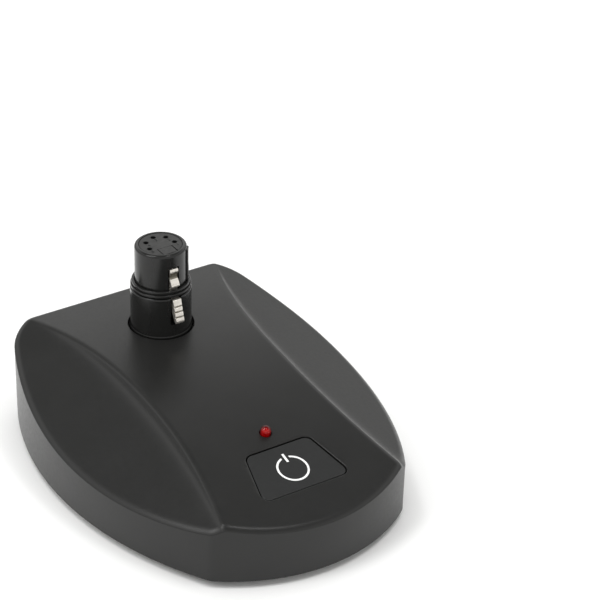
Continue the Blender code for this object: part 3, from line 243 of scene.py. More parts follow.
def edgeSide(radius, flare, up, down, steps=4, lean=radians(15)):
    # side of a plug that leaves a rounded mouth: wide above the surface, straight below it
    arc = []
    for step in range(steps + 1):
        turn = pi / 2 + lean + (pi / 2 - lean) * step / steps
        arc.append((radius + flare + flare * cos(turn), flare * sin(turn) - flare))
    wide = arc[0][0] + (up - arc[0][1]) / tan(lean)
    return [(0, up), (wide, up)] + arc + [(radius, -down), (0, -down)]


def roundPlug(radius, flare, down, steps):
    return turned(edgeSide(radius, flare, cutAbove, down), steps)


# finishes: a cloud, a shine and a brush are the size of a noise's spots and its detail

noiseUsed = (0.3, 0.7)  # the part of a noise's range that colours and gloss are spread over
moulding = {
    "cloud": (0.012, 3.0),
    "shine": (0.0011, 4.0),
    "grainStrength": 0.35,
}
plating = {
    "cloud": (0.004, 3.0),
    "brush": (0.0006, 5.0),
    "grainStrength": 0.25,
}
# painted shade on the lamp's red: the first colour where the dome faces the view, the second towards its
# outline and top
epoxy = {
    "face": (0.36, 0.0004, 0.0008),
    "outline": (0.05, 0.0002, 0.0004),
    "outlineShadeBlend": 0.45,
    "topShadeShare": 0.45,
    "shine": 0.0009,
    "rough": (0.05, 0.09),
}
solderMask = {
    "colours": ((0.020, 0.135, 0.075, 1), (0.026, 0.160, 0.092, 1)),
    "track": (0.055, 0.270, 0.165, 1),
    "trackWidth": 0.035,
    "trackScale": 330.0,
    "trackRise": 0.00003,
    "riseStrength": 0.4,
    "shine": 0.0008,
    "rough": (0.32, 0.46),
}
ink = {
    "dark": (0.80, 0.80, 0.79),
    "light": (0.88, 0.88, 0.87),
    "cloud": (0.0004, 3.0),
    "rough": (0.45, 0.6),
}


def setSockets(node, values):
    for label, value in values.items():
        node.inputs[label.replace("_", " ")].default_value = value
    return node


def addNode(tree, kind, **values):
    return setSockets(tree.nodes.new("ShaderNode" + kind), values)


def finish(name, **values):
    material = bpy.data.materials.new(name)
    material.use_nodes = True
    shader = setSockets(material.node_tree.nodes["Principled BSDF"], values)
    return material, material.node_tree, shader


def speckle(tree, size, detail=2.0, stretch=(1, 1, 1)):
    # noise on Object coordinates with spots of about this size
    place = addNode(tree, "TexCoord")
    scaled = addNode(tree, "Mapping", Scale=stretch)
    noise = addNode(tree, "TexNoise", Scale=1 / size, Detail=detail)
    tree.links.new(place.outputs["Object"], scaled.inputs["Vector"])
    tree.links.new(scaled.outputs["Vector"], noise.inputs["Vector"])
    return noise.outputs["Fac"]


def blendColour(tree, value, dark, light):
    ramp = addNode(tree, "ValToRGB")
    for stop, position, colour in zip(ramp.color_ramp.elements, noiseUsed, (dark, light)):
        stop.position = position
        stop.color = (*colour, 1)
    tree.links.new(value, ramp.inputs["Fac"])
    return ramp.outputs["Color"]


def blendRange(tree, value, low, high):
    first, last = noiseUsed
    mapped = addNode(tree, "MapRange", From_Min=first, From_Max=last, To_Min=low, To_Max=high)
    tree.links.new(value, mapped.inputs["Value"])
    return mapped.outputs["Result"]


def coatWith(tree, shader, colour, rough):
    tree.links.new(colour, shader.inputs["Base Color"])
    tree.links.new(rough, shader.inputs["Roughness"])


def raiseGrain(tree, shader, value, depth, strength):
    bump = addNode(tree, "Bump", Distance=depth, Strength=strength)
    tree.links.new(value, bump.inputs["Height"])
    tree.links.new(bump.outputs["Normal"], shader.inputs["Normal"])


def mouldedPlastic(name, dark, light, smooth, rough, grainSize, grainDepth, gloss=0.5):
    material, tree, shader = finish(name, Specular_IOR_Level=gloss)
    cloud = speckle(tree, *moulding["cloud"])
    shine = speckle(tree, *moulding["shine"])
    coatWith(tree, shader, blendColour(tree, cloud, dark, light), blendRange(tree, shine, smooth, rough))
    raiseGrain(tree, shader, speckle(tree, grainSize), grainDepth, moulding["grainStrength"])
    return material


def platedMetal(name, dark, light, smooth, rough, grainDepth, stretch=(1, 1, 1)):
    material, tree, shader = finish(name, Metallic=1.0)
    cloud = speckle(tree, *plating["cloud"])
    brushed = speckle(tree, *plating["brush"], stretch)
    coatWith(tree, shader, blendColour(tree, cloud, dark, light), blendRange(tree, brushed, smooth, rough))
    raiseGrain(tree, shader, brushed, grainDepth, plating["grainStrength"])
    return material


def redEpoxy():
    # red dome with painted shade: its colour is lighter where it faces the view and darker towards its
    # outline and its top, standing in for the light inside a clear dome
    material, tree, shader = finish("redEpoxy", Specular_IOR_Level=0.40)
    edge = addNode(tree, "LayerWeight", Blend=epoxy["outlineShadeBlend"])
    bent = addNode(tree, "NewGeometry")
    split = addNode(tree, "SeparateXYZ")
    # painted shade: the normal's Z times the top's share, plus the facing, picks between the two reds
    deep = addNode(tree, "Math")
    deep.operation = "MULTIPLY_ADD"
    deep.inputs[1].default_value = epoxy["topShadeShare"]
    tree.links.new(bent.outputs["Normal"], split.inputs["Vector"])
    tree.links.new(split.outputs["Z"], deep.inputs[0])
    tree.links.new(edge.outputs["Facing"], deep.inputs[2])
    colour = blendColour(tree, deep.outputs["Value"], epoxy["face"], epoxy["outline"])
    coatWith(tree, shader, colour, blendRange(tree, speckle(tree, epoxy["shine"]), *epoxy["rough"]))
    return material


def greenMask():
    # solder mask with the copper's tracks showing paler through it
    material, tree, shader = finish("greenMask", Coat_Weight=0.5, Coat_Roughness=0.18)
    place = addNode(tree, "TexCoord")
    first, second = solderMask["colours"]
    tracks = addNode(tree, "TexBrick", Scale=solderMask["trackScale"], Color1=first, Color2=second,
                     Mortar=solderMask["track"], Mortar_Size=solderMask["trackWidth"])
    tree.links.new(place.outputs["Object"], tracks.inputs["Vector"])
    rough = blendRange(tree, speckle(tree, solderMask["shine"]), *solderMask["rough"])
    coatWith(tree, shader, tracks.outputs["Color"], rough)
    raiseGrain(tree, shader, tracks.outputs["Fac"], solderMask["trackRise"], solderMask["riseStrength"])
    return material


def whiteInk():
    material, tree, shader = finish("whiteInk", Specular_IOR_Level=0.4)
    specks = speckle(tree, *ink["cloud"])
    colour = blendColour(tree, specks, ink["dark"], ink["light"])
    coatWith(tree, shader, colour, blendRange(tree, specks, *ink["rough"]))
    return material


# darkest and lightest colour, least and most roughness, grain, then a plastic's gloss or a metal's brushing
slotFinish = {
    "housing_plastic": mouldedPlastic("housingGrey", (0.0115, 0.0115, 0.0110), (0.0135, 0.0135, 0.0130),
                                      0.29, 0.36, 0.00022, 0.00002, 0.38),
    "button_plastic": mouldedPlastic("buttonGrey", (0.0118, 0.0122, 0.0121), (0.0138, 0.0142, 0.0141),
                                     0.33, 0.41, 0.00020, 0.00003),
    "socket_black": mouldedPlastic("socketBlack", (0.0115, 0.0116, 0.0110), (0.0140, 0.0141, 0.0135),
                                   0.15, 0.21, 0.00015, 0.000005, 0.38),
    "insert_black": mouldedPlastic("insertBlack", (0.020, 0.020, 0.0195), (0.027, 0.027, 0.026),
                                   0.42, 0.55, 0.00012, 0.00002),
    "steel": platedMetal("zincSteel", (0.50, 0.50, 0.49), (0.62, 0.61, 0.58),
                         0.28, 0.42, 0.00001, (1, 0.08, 1)),
    "latch_nickel": platedMetal("latchNickel", (0.88, 0.84, 0.77), (0.95, 0.91, 0.84),
                                0.36, 0.44, 0.000002),
    "contact_silver": platedMetal("contactSilver", (0.82, 0.81, 0.77), (0.93, 0.92, 0.88),
                                  0.12, 0.24, 0.00001),
    "lamp_red": redEpoxy(),
    "board_green": greenMask(),
    "foot_rubber": mouldedPlastic("footRubber", (0.014, 0.014, 0.014), (0.022, 0.022, 0.021),
                                  0.72, 0.88, 0.00035, 0.00006, 0.3),
    "cable_jacket": mouldedPlastic("cableJacket", (0.035, 0.035, 0.036), (0.05, 0.05, 0.051),
                                   0.45, 0.6, 0.0004, 0.00004),
}
# near-black copy of the black plastic: painted shade inside the insert's mouths and the rear outlet's well
recessShadeBlack = mouldedPlastic("recessShadeBlack", (0.004, 0.004, 0.004), (0.006, 0.006, 0.006),
                           0.38, 0.50, 0.00015, 0.00002, 0.35)
# darker copy of the latch's nickel: painted shade for the latch's hollow and undersides
latchPaintedShade = platedMetal("latchPaintedShade", (0.20, 0.185, 0.15), (0.28, 0.26, 0.215), 0.45, 0.55, 0.000002)
markWhite = whiteInk()
for row in frame["record"]["subparts"]:
    for holder in frame["nodes"][row["node"]].material_slots:
        holder.material = slotFinish[row["material_slot"]]
print("finishes made")


# housing: one formula for the height of the top over its plan

housing = {
    "frontWidth": 0.0667,
    "rearWidth": 0.0769,
    "widestFromRear": 0.0505,
    "noseRadius": 0.0550,
    "frontCorner": 0.0060,
    "rearCorner": 0.0120,
    "frontHeight": 0.0164,
    "apexFromRear": 0.0244,
    "wall": 0.0022,
    "rim": 0.0020,
    "rimMeet": radians(45),
    "rimTight": 0.0004,
    "rimSteps": (6, 4),
    "waistFromRear": 0.0618,
    "scoopWidth": 0.02695,
    "creaseRearInset": 0.0043,
    "creaseFrontInset": 0.0007,
    "creaseRearPower": 2.5,
    "creaseRound": 0.0009,
    "bandStart": 0.0012,
    "bandConvex": 0.0020,
    "bandConcave": 0.0055,
    "bandSteep": radians(65),
    "bandEase": 0.40,
    "bandTail": 0.0019,
    "slopeFront": 0.378,
    "slopeRear": 0.36,
    "hem": 0.0004,
    "hemBend": 0.3,
    "fineGrid": (150, 26, 30),  # rows, columns of half the panel, columns of a scoop
    "coarseGrid": (48, 12, 12),
    "gridWeld": 1e-6,
    "crowding": 0.75,
    "panelPower": 1.5,
    "scoopPower": 1.6,
}
housingLow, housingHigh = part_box("top_housing")
halfWidth = housingHigh.x
rearY = housingHigh.y
frontY = housingLow.y
bottomZ = housingLow.z
topZ = housingHigh.z
socketLow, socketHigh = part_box("socket_shell")
socketY = (socketLow.y + socketHigh.y) / 2
widestY = rearY - housing["widestFromRear"]
waistY = rearY - housing["waistFromRear"]
apexY = rearY - housing["apexFromRear"]
creaseWaist = halfWidth - housing["scoopWidth"]
creaseRear = housing["rearWidth"] / 2 - housing["creaseRearInset"]
creaseFront = housing["frontWidth"] / 2 - housing["creaseFrontInset"]
crownDrop = topZ - bottomZ - housing["frontHeight"]
crownRadius = ((apexY - frontY) ** 2 + crownDrop ** 2) / (2 * crownDrop)


def crownAt(y):
    return topZ - crownRadius + sqrt(crownRadius ** 2 - (y - apexY) ** 2)


def creaseAt(y):
    if y > waistY:
        share = ((y - waistY) / (rearY - waistY)) ** housing["creaseRearPower"]
        return creaseWaist + (creaseRear - creaseWaist) * share
    return creaseWaist + (creaseFront - creaseWaist) * ((waistY - y) / (waistY - frontY)) ** 2


def easeStep(value):
    value = min(max(value, 0.0), 1.0)
    return value * value * (3 - 2 * value)


def stepAt(out):
    # the band's fall where it is deepest: rounded over, steep, then eased out into the scoop
    convex = housing["bandConvex"]
    concave = housing["bandConcave"]
    steep = housing["bandSteep"]
    ease = housing["bandEase"]
    along = out + housing["bandStart"]
    if along <= 0:
        return 0.0
    turn = convex * sin(steep)
    if along <= turn:
        return convex - sqrt(convex ** 2 - along ** 2)
    endSlope = housing["slopeFront"] + ease
    endSine = endSlope / sqrt(1 + endSlope ** 2)
    end = turn + concave * (sin(steep) - endSine)
    fall = convex * (1 - cos(steep))
    if along <= end:
        return fall + concave * (sqrt(1 - (sin(steep) - (along - turn) / concave) ** 2) - cos(steep))
    fall += concave * (sqrt(1 - endSine ** 2) - cos(steep))
    tail = housing["bandTail"]
    past = along - end
    return fall + housing["slopeFront"] * past + ease * tail * (1 - exp(-past / tail))


def topAt(x, y):
    soft = housing["creaseRound"]
    out = abs(x) - creaseAt(y)
    if out < -max(soft, housing["bandStart"]):
        return crownAt(y)
    ramp = out if out > soft else max(out + soft, 0.0) ** 2 / (4 * soft)
    reach = (y - waistY) / (rearY - waistY)
    band = max(0.0, 1 - reach * reach) * (stepAt(out) - housing["slopeFront"] * ramp)
    rearShare = easeStep((y - waistY) / (socketY - waistY))
    slope = housing["slopeFront"] + (housing["slopeRear"] - housing["slopeFront"]) * rearShare
    return crownAt(y) - band - slope * ramp


def sideRadius(endHalf, endY):
    inward = halfWidth - endHalf
    along = widestY - endY
    return (inward ** 2 + along ** 2) / (2 * inward)


def planArcs():
    # right half of the plan from the rear: corner, two side arcs, front corner, nose
    rearRound = housing["rearCorner"]
    frontRound = housing["frontCorner"]
    noseRound = housing["noseRadius"]
    noseCornerY = frontY + noseRound - sqrt(noseRound ** 2 - (housing["frontWidth"] / 2) ** 2)
    sideRear = sideRadius(housing["rearWidth"] / 2, rearY)
    sideFront = sideRadius(housing["frontWidth"] / 2, noseCornerY)
    rearCentre = Vector((halfWidth - sideRear, widestY))
    frontCentre = Vector((halfWidth - sideFront, widestY))
    noseCentre = Vector((0, frontY + noseRound))
    cornerY = rearY - rearRound
    reach = sqrt((sideRear - rearRound) ** 2 - (cornerY - widestY) ** 2)
    rearCorner = Vector((rearCentre.x + reach, cornerY))
    between = noseCentre - frontCentre
    along = ((sideFront - frontRound) ** 2 - (noseRound - frontRound) ** 2 + between.length_squared)
    along /= 2 * between.length
    across = sqrt((sideFront - frontRound) ** 2 - along ** 2)
    unit = between.normalized()
    square = Vector((-unit.y, unit.x)) * across
    spot = frontCentre + unit * along
    frontCorner = min(spot + square, spot - square, key=lambda place: place.y)
    rearTurn = atan2(rearCorner.y - rearCentre.y, rearCorner.x - rearCentre.x)
    frontTurn = atan2(frontCorner.y - frontCentre.y, frontCorner.x - frontCentre.x)
    noseTurn = atan2(frontCorner.y - noseCentre.y, frontCorner.x - noseCentre.x)
    return [
        (rearCorner, rearRound, pi / 2, rearTurn),
        (rearCentre, sideRear, rearTurn, 0.0),
        (frontCentre, sideFront, 0.0, frontTurn),
        (frontCorner, frontRound, frontTurn, noseTurn),
        (noseCentre, noseRound, noseTurn, -pi / 2),
    ]


arcs = planArcs()
rearFlat = arcs[0][0].x
arcLengths = [radius * (first - last) for _, radius, first, last in arcs]
halfLength = rearFlat + sum(arcLengths)


def planAt(distance, inset):
    # point on the right half, measured along it from the rear's middle
    if distance <= rearFlat:
        return Vector((distance, rearY - inset))
    arc = 0
    left = distance - rearFlat
    while left > arcLengths[arc] and arc < len(arcs) - 1:
        left -= arcLengths[arc]
        arc += 1
    centre, radius, first, last = arcs[arc]
    turn = first + (last - first) * min(left / arcLengths[arc], 1.0)
    return centre + Vector((cos(turn), sin(turn))) * (radius - inset)


def halving(inner, outer, inside):
    for _ in range(48):
        middle = (inner + outer) / 2
        if inside(middle):
            inner = middle
        else:
            outer = middle
    return inner


def creaseEnd(inset, inner, outer):
    def inside(distance):
        point = planAt(distance, inset)
        return point.x < creaseAt(point.y)
    return halving(inner, outer, inside)


def noseEdge(x, inset):
    start = halfLength - arcLengths[3] - arcLengths[4]
    distance = halving(start, halfLength, lambda place: planAt(place, inset).x > x)
    return planAt(distance, inset).y


def rearEdge(x, inset):
    if x <= rearFlat:
        return rearY - inset
    centre, radius = arcs[0][:2]
    return centre.y + sqrt(max((radius - inset) ** 2 - (x - centre.x) ** 2, 0.0))


def edgeWay(point, inset):
    # outward way at a point of the plan's edge
    slack = 1e-4  # radians past an arc's ends
    right = Vector((abs(point.x), point.y))
    best = (1.0, Vector((0, 1)))
    if right.x <= rearFlat:
        best = (abs(right.y - rearY + inset), Vector((0, 1)))
    for centre, radius, first, last in arcs:
        away = right - centre
        turn = atan2(away.y, away.x)
        miss = abs(away.length - radius + inset)
        if last - slack <= turn <= first + slack and miss < best[0]:
            best = (miss, away.normalized())
    return Vector((best[1].x * (-1 if point.x < 0 else 1), best[1].y))


def growEdge(bm, places, edge):
    # a new ring on the open edge; each dot keeps the plan point and way that its column started from
    grown = bmesh.ops.extrude_edge_only(bm, edges=openEdges(bm))["geom"]
    fresh = {item for item in grown if isinstance(item, bmesh.types.BMVert)}
    found = {}
    for dot in fresh:
        source = next(e.other_vert(dot) for e in dot.link_edges if e.other_vert(dot) not in fresh)
        plan = dot.co.xy.copy()
        found[dot] = places.get(source) or (plan, edgeWay(plan, edge))
    return found


def rimProfile(rim):
    # steps out and down: a broad round first, a tight one where it meets the wall
    meet = housing["rimMeet"]
    tight = housing["rimTight"]
    broad = (rim - tight * (1 - sin(meet))) / sin(meet)
    broadSteps, tightSteps = housing["rimSteps"]
    rows = []
    for step in range(1, broadSteps + 1):
        turn = meet * step / broadSteps
        rows.append((broad * sin(turn), broad * (1 - cos(turn))))
    out, fall = rows[-1]
    for step in range(1, tightSteps + 1):
        turn = meet + (pi / 2 - meet) * step / tightSteps
        rows.append((out + tight * (sin(turn) - sin(meet)), fall + tight * (cos(meet) - cos(turn))))
    return rows


def housingForm(inset, rim, bottom, grid):
    rows, panelColumns, scoopColumns = grid
    edge = inset + rim
    columns = panelColumns + scoopColumns
    rearEnd = creaseEnd(edge, 0.0, halfLength / 2)
    frontEnd = creaseEnd(edge, halfLength, halfLength / 2)
    rearPoint = planAt(rearEnd, edge)
    frontPoint = planAt(frontEnd, edge)
    power = housing["panelPower"]
    panelShares = [1 - (1 - step / panelColumns) ** power for step in range(panelColumns + 1)]
    behind = [rearEdge(share * rearPoint.x, edge) - rearPoint.y for share in panelShares]
    ahead = [noseEdge(share * frontPoint.x, edge) - frontPoint.y for share in panelShares]

    def place(column, row):
        even = row / rows
        share = even + housing["crowding"] * ((1 - cos(pi * even)) / 2 - even)
        y = rearPoint.y + (frontPoint.y - rearPoint.y) * share
        index = abs(column)
        if index <= panelColumns:
            bow = (1 - share) ** 2 * behind[index] + share ** 2 * ahead[index]
            point = Vector((panelShares[index] * creaseAt(y), y + bow))
        else:
            outer = planAt(rearEnd + (frontEnd - rearEnd) * share, edge)
            part = ((index - panelColumns) / scoopColumns) ** housing["scoopPower"]
            point = Vector((creaseAt(y), y)).lerp(outer, part)
        side = -1 if column < 0 else 1
        return Vector((side * point.x, point.y, topAt(point.x, point.y) - inset))

    bm = bmesh.new()
    bmesh.ops.create_grid(bm, x_segments=2 * columns, y_segments=rows, size=1.0)
    for dot in bm.verts:
        dot.co = place(round(dot.co.x * columns), round((1 - dot.co.y) / 2 * rows))
    bmesh.ops.remove_doubles(bm, verts=bm.verts, dist=housing["gridWeld"])
    places = {}
    for offset, fall in rimProfile(rim) if rim else ():
        places = growEdge(bm, places, edge)
        for dot, (point, away) in places.items():
            plan = point + away * offset
            dot.co = (plan.x, plan.y, topAt(plan.x, plan.y) - inset - fall)
    hem = housing["hem"]
    bend = hem * housing["hemBend"]
    for lift, draw in ((hem, 0.0), (bend, bend), (0.0, hem)) if rim else ((0.0, 0.0),):
        places = growEdge(bm, places, edge)
        for dot, (point, away) in places.items():
            plan = point + away * (rim - draw)
            dot.co = (plan.x, plan.y, bottom + lift)
    bmesh.ops.contextual_create(bm, geom=openEdges(bm))
    bmesh.ops.recalc_face_normals(bm, faces=bm.faces)
    return bm


button = {
    "fromFront": 0.02055,
    "length": 0.0178,
    "rearWidth": 0.0218,
    "frontWidth": 0.0302,
    "corner": 0.0026,
    "cornerSteps": 8,
    "gap": 0.00030,
    "recess": 0.00035,
    "shift": 0.0006,
    "play": 0.0006,
    "flange": 0.0014,
    "flangeThick": 0.0012,
    "stem": 0.0020,
    "stemLength": 0.0034,
    "stemSteps": 32,
    "edge": 0.00032,
    "mouth": 0.00025,
    "cut": 0.0060,
}
buttonY = frontY + button["fromFront"]
buttonTilt = asin((apexY - buttonY) / crownRadius)
onButton = Matrix.Translation((0, buttonY, crownAt(buttonY))) @ Matrix.Rotation(buttonTilt, 4, "X")
buttonFlangeTop = -housing["wall"] - button["play"]
buttonFlangeLow = buttonFlangeTop - button["flangeThick"]


def trapezium(bm, grow, height):
    # the button's outline as one face, grown all round
    half = button["length"] / 2 + grow
    lean = (button["frontWidth"] - button["rearWidth"]) / 2 / button["length"]
    middle = (button["frontWidth"] + button["rearWidth"]) / 4 + grow * sqrt(1 + lean * lean)
    rear = middle - lean * half
    front = middle + lean * half
    corners = [(-front, -half), (front, -half), (rear, half), (-rear, half)]
    dots = [bm.verts.new((x, y + button["shift"], height)) for x, y in corners]
    bm.faces.new(dots)
    slant = atan2(1, lean)  # a front corner's angle
    for pair, angle in ((dots[:2], slant), (dots[2:], pi - slant)):
        roundDots(bm, pair, (button["corner"] + grow) / tan(angle / 2), button["cornerSteps"])
    bm.faces.ensure_lookup_table()
    return bm.faces[0]


def buttonPlug():
    # cutter for the button's hole, with a rounded mouth that lies on the crowned top
    side = edgeSide(0.0, button["mouth"], cutAbove, button["cut"])[1:-1]
    bm = bmesh.new()
    face = trapezium(bm, *side[0])
    for (wide, high), (narrow, low) in zip(side, side[1:-1]):
        bmesh.ops.inset_region(bm, faces=[face], thickness=wide - narrow, depth=low - high,
                               use_even_offset=True, use_boundary=True)
    for dot in bm.verts:
        dot.co.z -= crownRadius - sqrt(crownRadius ** 2 - dot.co.y ** 2)
    pushFace(bm, face, (0, 0, side[-1][1]))
    bmesh.ops.contextual_create(bm, geom=openEdges(bm))
    moveAll(bm, onButton)
    return bm


socket = {
    "hole": 0.01019,
    "mouth": 0.00030,
    "cut": 0.0060,
    "steps": 128,
}
lamp = {
    "behindButton": 0.00648,
    "radius": 0.00168,
    "stand": 0.0024,
    "dome": 0.999,  # share of the radius that is rounded
    "domeSteps": 12,
    "flange": 0.0004,
    "flangeThick": 0.0010,
    "steps": 48,
    "mouth": 0.00015,
    "cut": 0.0044,
    "holeSteps": 40,
}
lampY = button["length"] / 2 + lamp["behindButton"]
lampDrop = crownRadius - sqrt(crownRadius ** 2 - lampY ** 2)
outlet = {
    "radius": 0.00822,
    "depth": 0.0140,
    "lip": 0.0011,
    "wall": 0.0016,
    "step": 0.0004,
    "chamfer": 0.0008,
    "mouth": 0.00030,
    "edge": 0.00015,
    "cut": 0.0024,
    "steps": 96,
    "notchTurn": radians(65),
    "notchWidth": 0.0064,
    "notchReach": 0.0092,
    "notchRound": 0.0011,
    "notchCut": (-0.0040, 0.0020),
}
wellLow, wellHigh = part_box("outlet_well")
outletX = (wellLow.x + wellHigh.x) / 2
outletZ = (wellLow.z + wellHigh.z) / 2
rearward = Matrix.Rotation(-pi / 2, 4, "X")
onOutlet = Matrix.Translation((outletX, rearY, outletZ)) @ rearward


def notchPlug(low, high):
    # keyway beside the outlet's hole, with round outer corners
    half = outlet["notchWidth"] / 2
    bm = block((0, -half, low), (outlet["notchReach"], half, high))
    upright = [e for e in bm.edges if abs(e.verts[0].co.z - e.verts[1].co.z) > gap]
    roundEdges(bm, [e for e in upright if e.verts[0].co.x > gap], outlet["notchRound"], 5)
    moveAll(bm, onOutlet @ Matrix.Rotation(outlet["notchTurn"], 4, "Z"))
    return bm


boss = {
    "base": (0.0032, 0.0018),  # outer and inner radius
    "small": (0.0023, 0.0014),
    "reach": 0.03,
    "boardDrop": 0.0009,
    "steps": 32,
}


def bossTubes():
    # screw bosses, taken from the places of their screws
    tilted = onButton.to_3x3()
    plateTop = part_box("base_plate")[1].z + gap
    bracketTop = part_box("socket_bracket")[1].z + gap
    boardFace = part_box("outlet_board")[1].y + gap
    bm = bmesh.new()
    for name in sorted(frame["nodes"]):
        start = middleOf(name)
        turn = Matrix.Identity(4)
        outer, inner = boss["small"]
        if name.startswith("base_screw"):
            start.z = plateTop
            outer, inner = boss["base"]
        elif name.startswith("bracket_screw"):
            start.z = bracketTop
        elif name.startswith("outlet_screw"):
            start.y = boardFace
            turn = rearward
        elif name.startswith("board_screw"):
            start -= tilted @ Vector((0, 0, boss["boardDrop"]))
            turn = tilted.to_4x4()
        else:
            continue
        side = [(inner, boss["reach"]), (outer, boss["reach"]), (outer, 0), (inner, 0)]
        tube = turned(side, boss["steps"], True)
        moveAll(tube, Matrix.Translation(start) @ turn)
        addTo(bm, tube)
    return bm


def makeHousing():
    core = housingForm(housing["wall"], 0.0, bottomZ - housing["wall"], housing["coarseGrid"])
    core = carve(core, bossTubes())
    body = housingForm(0.0, housing["rim"], bottomZ, housing["fineGrid"])
    body = carve(body, core)
    holes = roundPlug(socket["hole"], socket["mouth"], socket["cut"], socket["steps"])
    moveAll(holes, Matrix.Translation((0, socketY, 0)))
    for dot in holes.verts:
        dot.co.z += crownAt(dot.co.y)
    addTo(holes, buttonPlug())
    lampHole = roundPlug(lamp["radius"] + gap / 2, lamp["mouth"], lamp["cut"], lamp["holeSteps"])
    moveAll(lampHole, onButton @ Matrix.Translation((0, lampY, -lampDrop)))
    addTo(holes, lampHole)
    outletHole = roundPlug(outlet["radius"], outlet["mouth"], outlet["cut"], outlet["steps"])
    moveAll(outletHole, onOutlet)
    addTo(holes, outletHole)
    body = carve(body, holes)
    body = carve(body, notchPlug(*outlet["notchCut"]))
    return newPiece("housing_shell", body, "housing_plastic", "top_housing", sharp=32)


housingShell = makeHousing()
print("housing made:", len(housingShell.data.polygons), "faces")


# underside: plate, its countersunk screws and rubber feet

plate = {
    "inset": 0.0025,
    "edge": 0.0003,
    "steps": 220,
}
baseScrew = {
    "radius": 0.0015,
    "head": 0.0028,
    "headHeight": 0.0014,
    "tip": 0.0006,
    "cross": 0.0034,
    "crossWidth": 0.0007,
    "crossDepth": 0.0008,
    "turn": 37,  # degrees from one screw's cross to the next
    "steps": 40,
    "sinkSteps": 48,
}
foot = {
    "chamfer": 0.0006,
    "recess": 0.0008,
    "recessRadius": 0.0028,
    "steps": 56,
}
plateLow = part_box("base_plate")[0].z
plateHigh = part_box("base_plate")[1].z
coneLow = plateLow + gap / 2
coneHigh = plateLow + baseScrew["headHeight"]


def makePlate():
    steps = plate["steps"]
    right = [planAt(halfLength * step / steps, plate["inset"]) for step in range(steps + 1)]
    left = [Vector((-point.x, point.y)) for point in reversed(right[1:-1])]
    bm = bmesh.new()
    face = bm.faces.new([bm.verts.new((*point, plateLow)) for point in right + left])
    far = pushFace(bm, face, (0, 0, plateHigh - plateLow))
    roundEdges(bm, list(face.edges) + list(far.edges), plate["edge"], 2)
    wide = baseScrew["head"] + gap
    narrow = baseScrew["radius"] + gap
    sink = [(0, plateHigh + gap), (narrow, plateHigh + gap), (narrow, coneHigh + gap), (wide, coneLow),
            (wide, plateLow - gap), (0, plateLow - gap)]
    sinks = bmesh.new()
    for index in range(1, 5):
        hole = turned(sink, baseScrew["sinkSteps"])
        moveAll(hole, over(f"base_screw_{index}"))
        addTo(sinks, hole)
    bm = carve(bm, sinks)
    newPiece("base_sheet", bm, "steel", "base_plate")


def makeBaseScrews():
    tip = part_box("base_screw_1")[1].z
    radius = baseScrew["radius"]
    side = [(0, tip), (radius - baseScrew["tip"], tip), (radius, tip - baseScrew["tip"]), (radius, coneHigh),
            (baseScrew["head"], coneLow), (baseScrew["head"], plateLow), (0, plateLow)]
    half = baseScrew["crossWidth"] / 2
    reach = baseScrew["cross"] / 2
    floor = plateLow + baseScrew["crossDepth"]
    for index in range(1, 5):
        node = f"base_screw_{index}"
        bm = turned(side, baseScrew["steps"])
        for x, y in ((reach, half), (half, reach)):
            bm = carve(bm, block((-x, -y, plateLow - gap), (x, y, floor)))
        moveAll(bm, over(node) @ Matrix.Rotation(radians(baseScrew["turn"] * index), 4, "Z"))
        newPiece(f"plate_screw_{index}", bm, "steel", node)


def makeFeet():
    chamfer = foot["chamfer"]
    inner = foot["recessRadius"]
    rounds = [([2], chamfer, 4), ([3, 4], chamfer / 3, 3)]
    for index in range(1, 5):
        node = f"rubber_foot_{index}"
        low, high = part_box(node)
        radius = (high.x - low.x) / 2
        hollow = low.z + foot["recess"]
        side = [(0, high.z), (radius, high.z), (radius, low.z), (inner, low.z), (inner - chamfer / 2, hollow),
                (0, hollow)]
        bm = turned(side, foot["steps"], rounds=rounds)
        moveAll(bm, over(node))
        newPiece(f"foot_{index}", bm, "foot_rubber", node)


makePlate()
makeBaseScrews()
makeFeet()
print("underside made")


# button with its printed mark and return spring

def makeButton():
    bm = bmesh.new()
    face = trapezium(bm, button["flange"], buttonFlangeLow)
    face = pushFace(bm, face, (0, 0, button["flangeThick"]))
    bmesh.ops.inset_region(bm, faces=[face], thickness=button["flange"] + button["gap"], use_even_offset=True)
    face = pushFace(bm, face, (0, 0, -button["recess"] - buttonFlangeTop))
    roundEdges(bm, list(face.edges), button["edge"], 4)
    low = buttonFlangeLow - button["stemLength"]
    radius = button["stem"]
    side = [(0, buttonFlangeTop), (radius, buttonFlangeTop), (radius, low), (0, low)]
    bm = carve(bm, turned(side, button["stemSteps"]), "UNION")
    moveAll(bm, onButton)
    newPiece("button_cap", bm, "button_plastic", "power_button", "button")


mark = {
    "radius": 0.00488,
    "stroke": 0.00062,
    "opening": 0.0025,
    "barLow": 0.0027,
    "barHigh": 0.0060,
    "barWidth": 0.00072,
    "thick": 0.00003,
    "steps": 96,
}


def makeMark():
    # printed ring, open at the rear, and its bar
    low = -button["recess"] - mark["thick"]
    high = -button["recess"] + mark["thick"]
    outer = mark["radius"]
    inner = outer - mark["stroke"]
    bm = turned([(outer, high), (outer, low), (inner, low), (inner, high)], mark["steps"], True)
    half = mark["opening"] / 2
    bm = carve(bm, block((-half, 0, low - gap), (half, 2 * outer, high + gap)))
    half = mark["barWidth"] / 2
    addTo(bm, block((-half, mark["barLow"], low), (half, mark["barHigh"], high)))
    moveAll(bm, onButton)
    newPiece("power_mark", bm, None, body="button", material=markWhite)


coil = {
    "radius": 0.005134,
    "wire": 0.00035,
    "wireSteps": 12,
    "turns": 4.5,
    "low": 0.01135,
    "turnSteps": 36,
    "keep": 0.865,
}


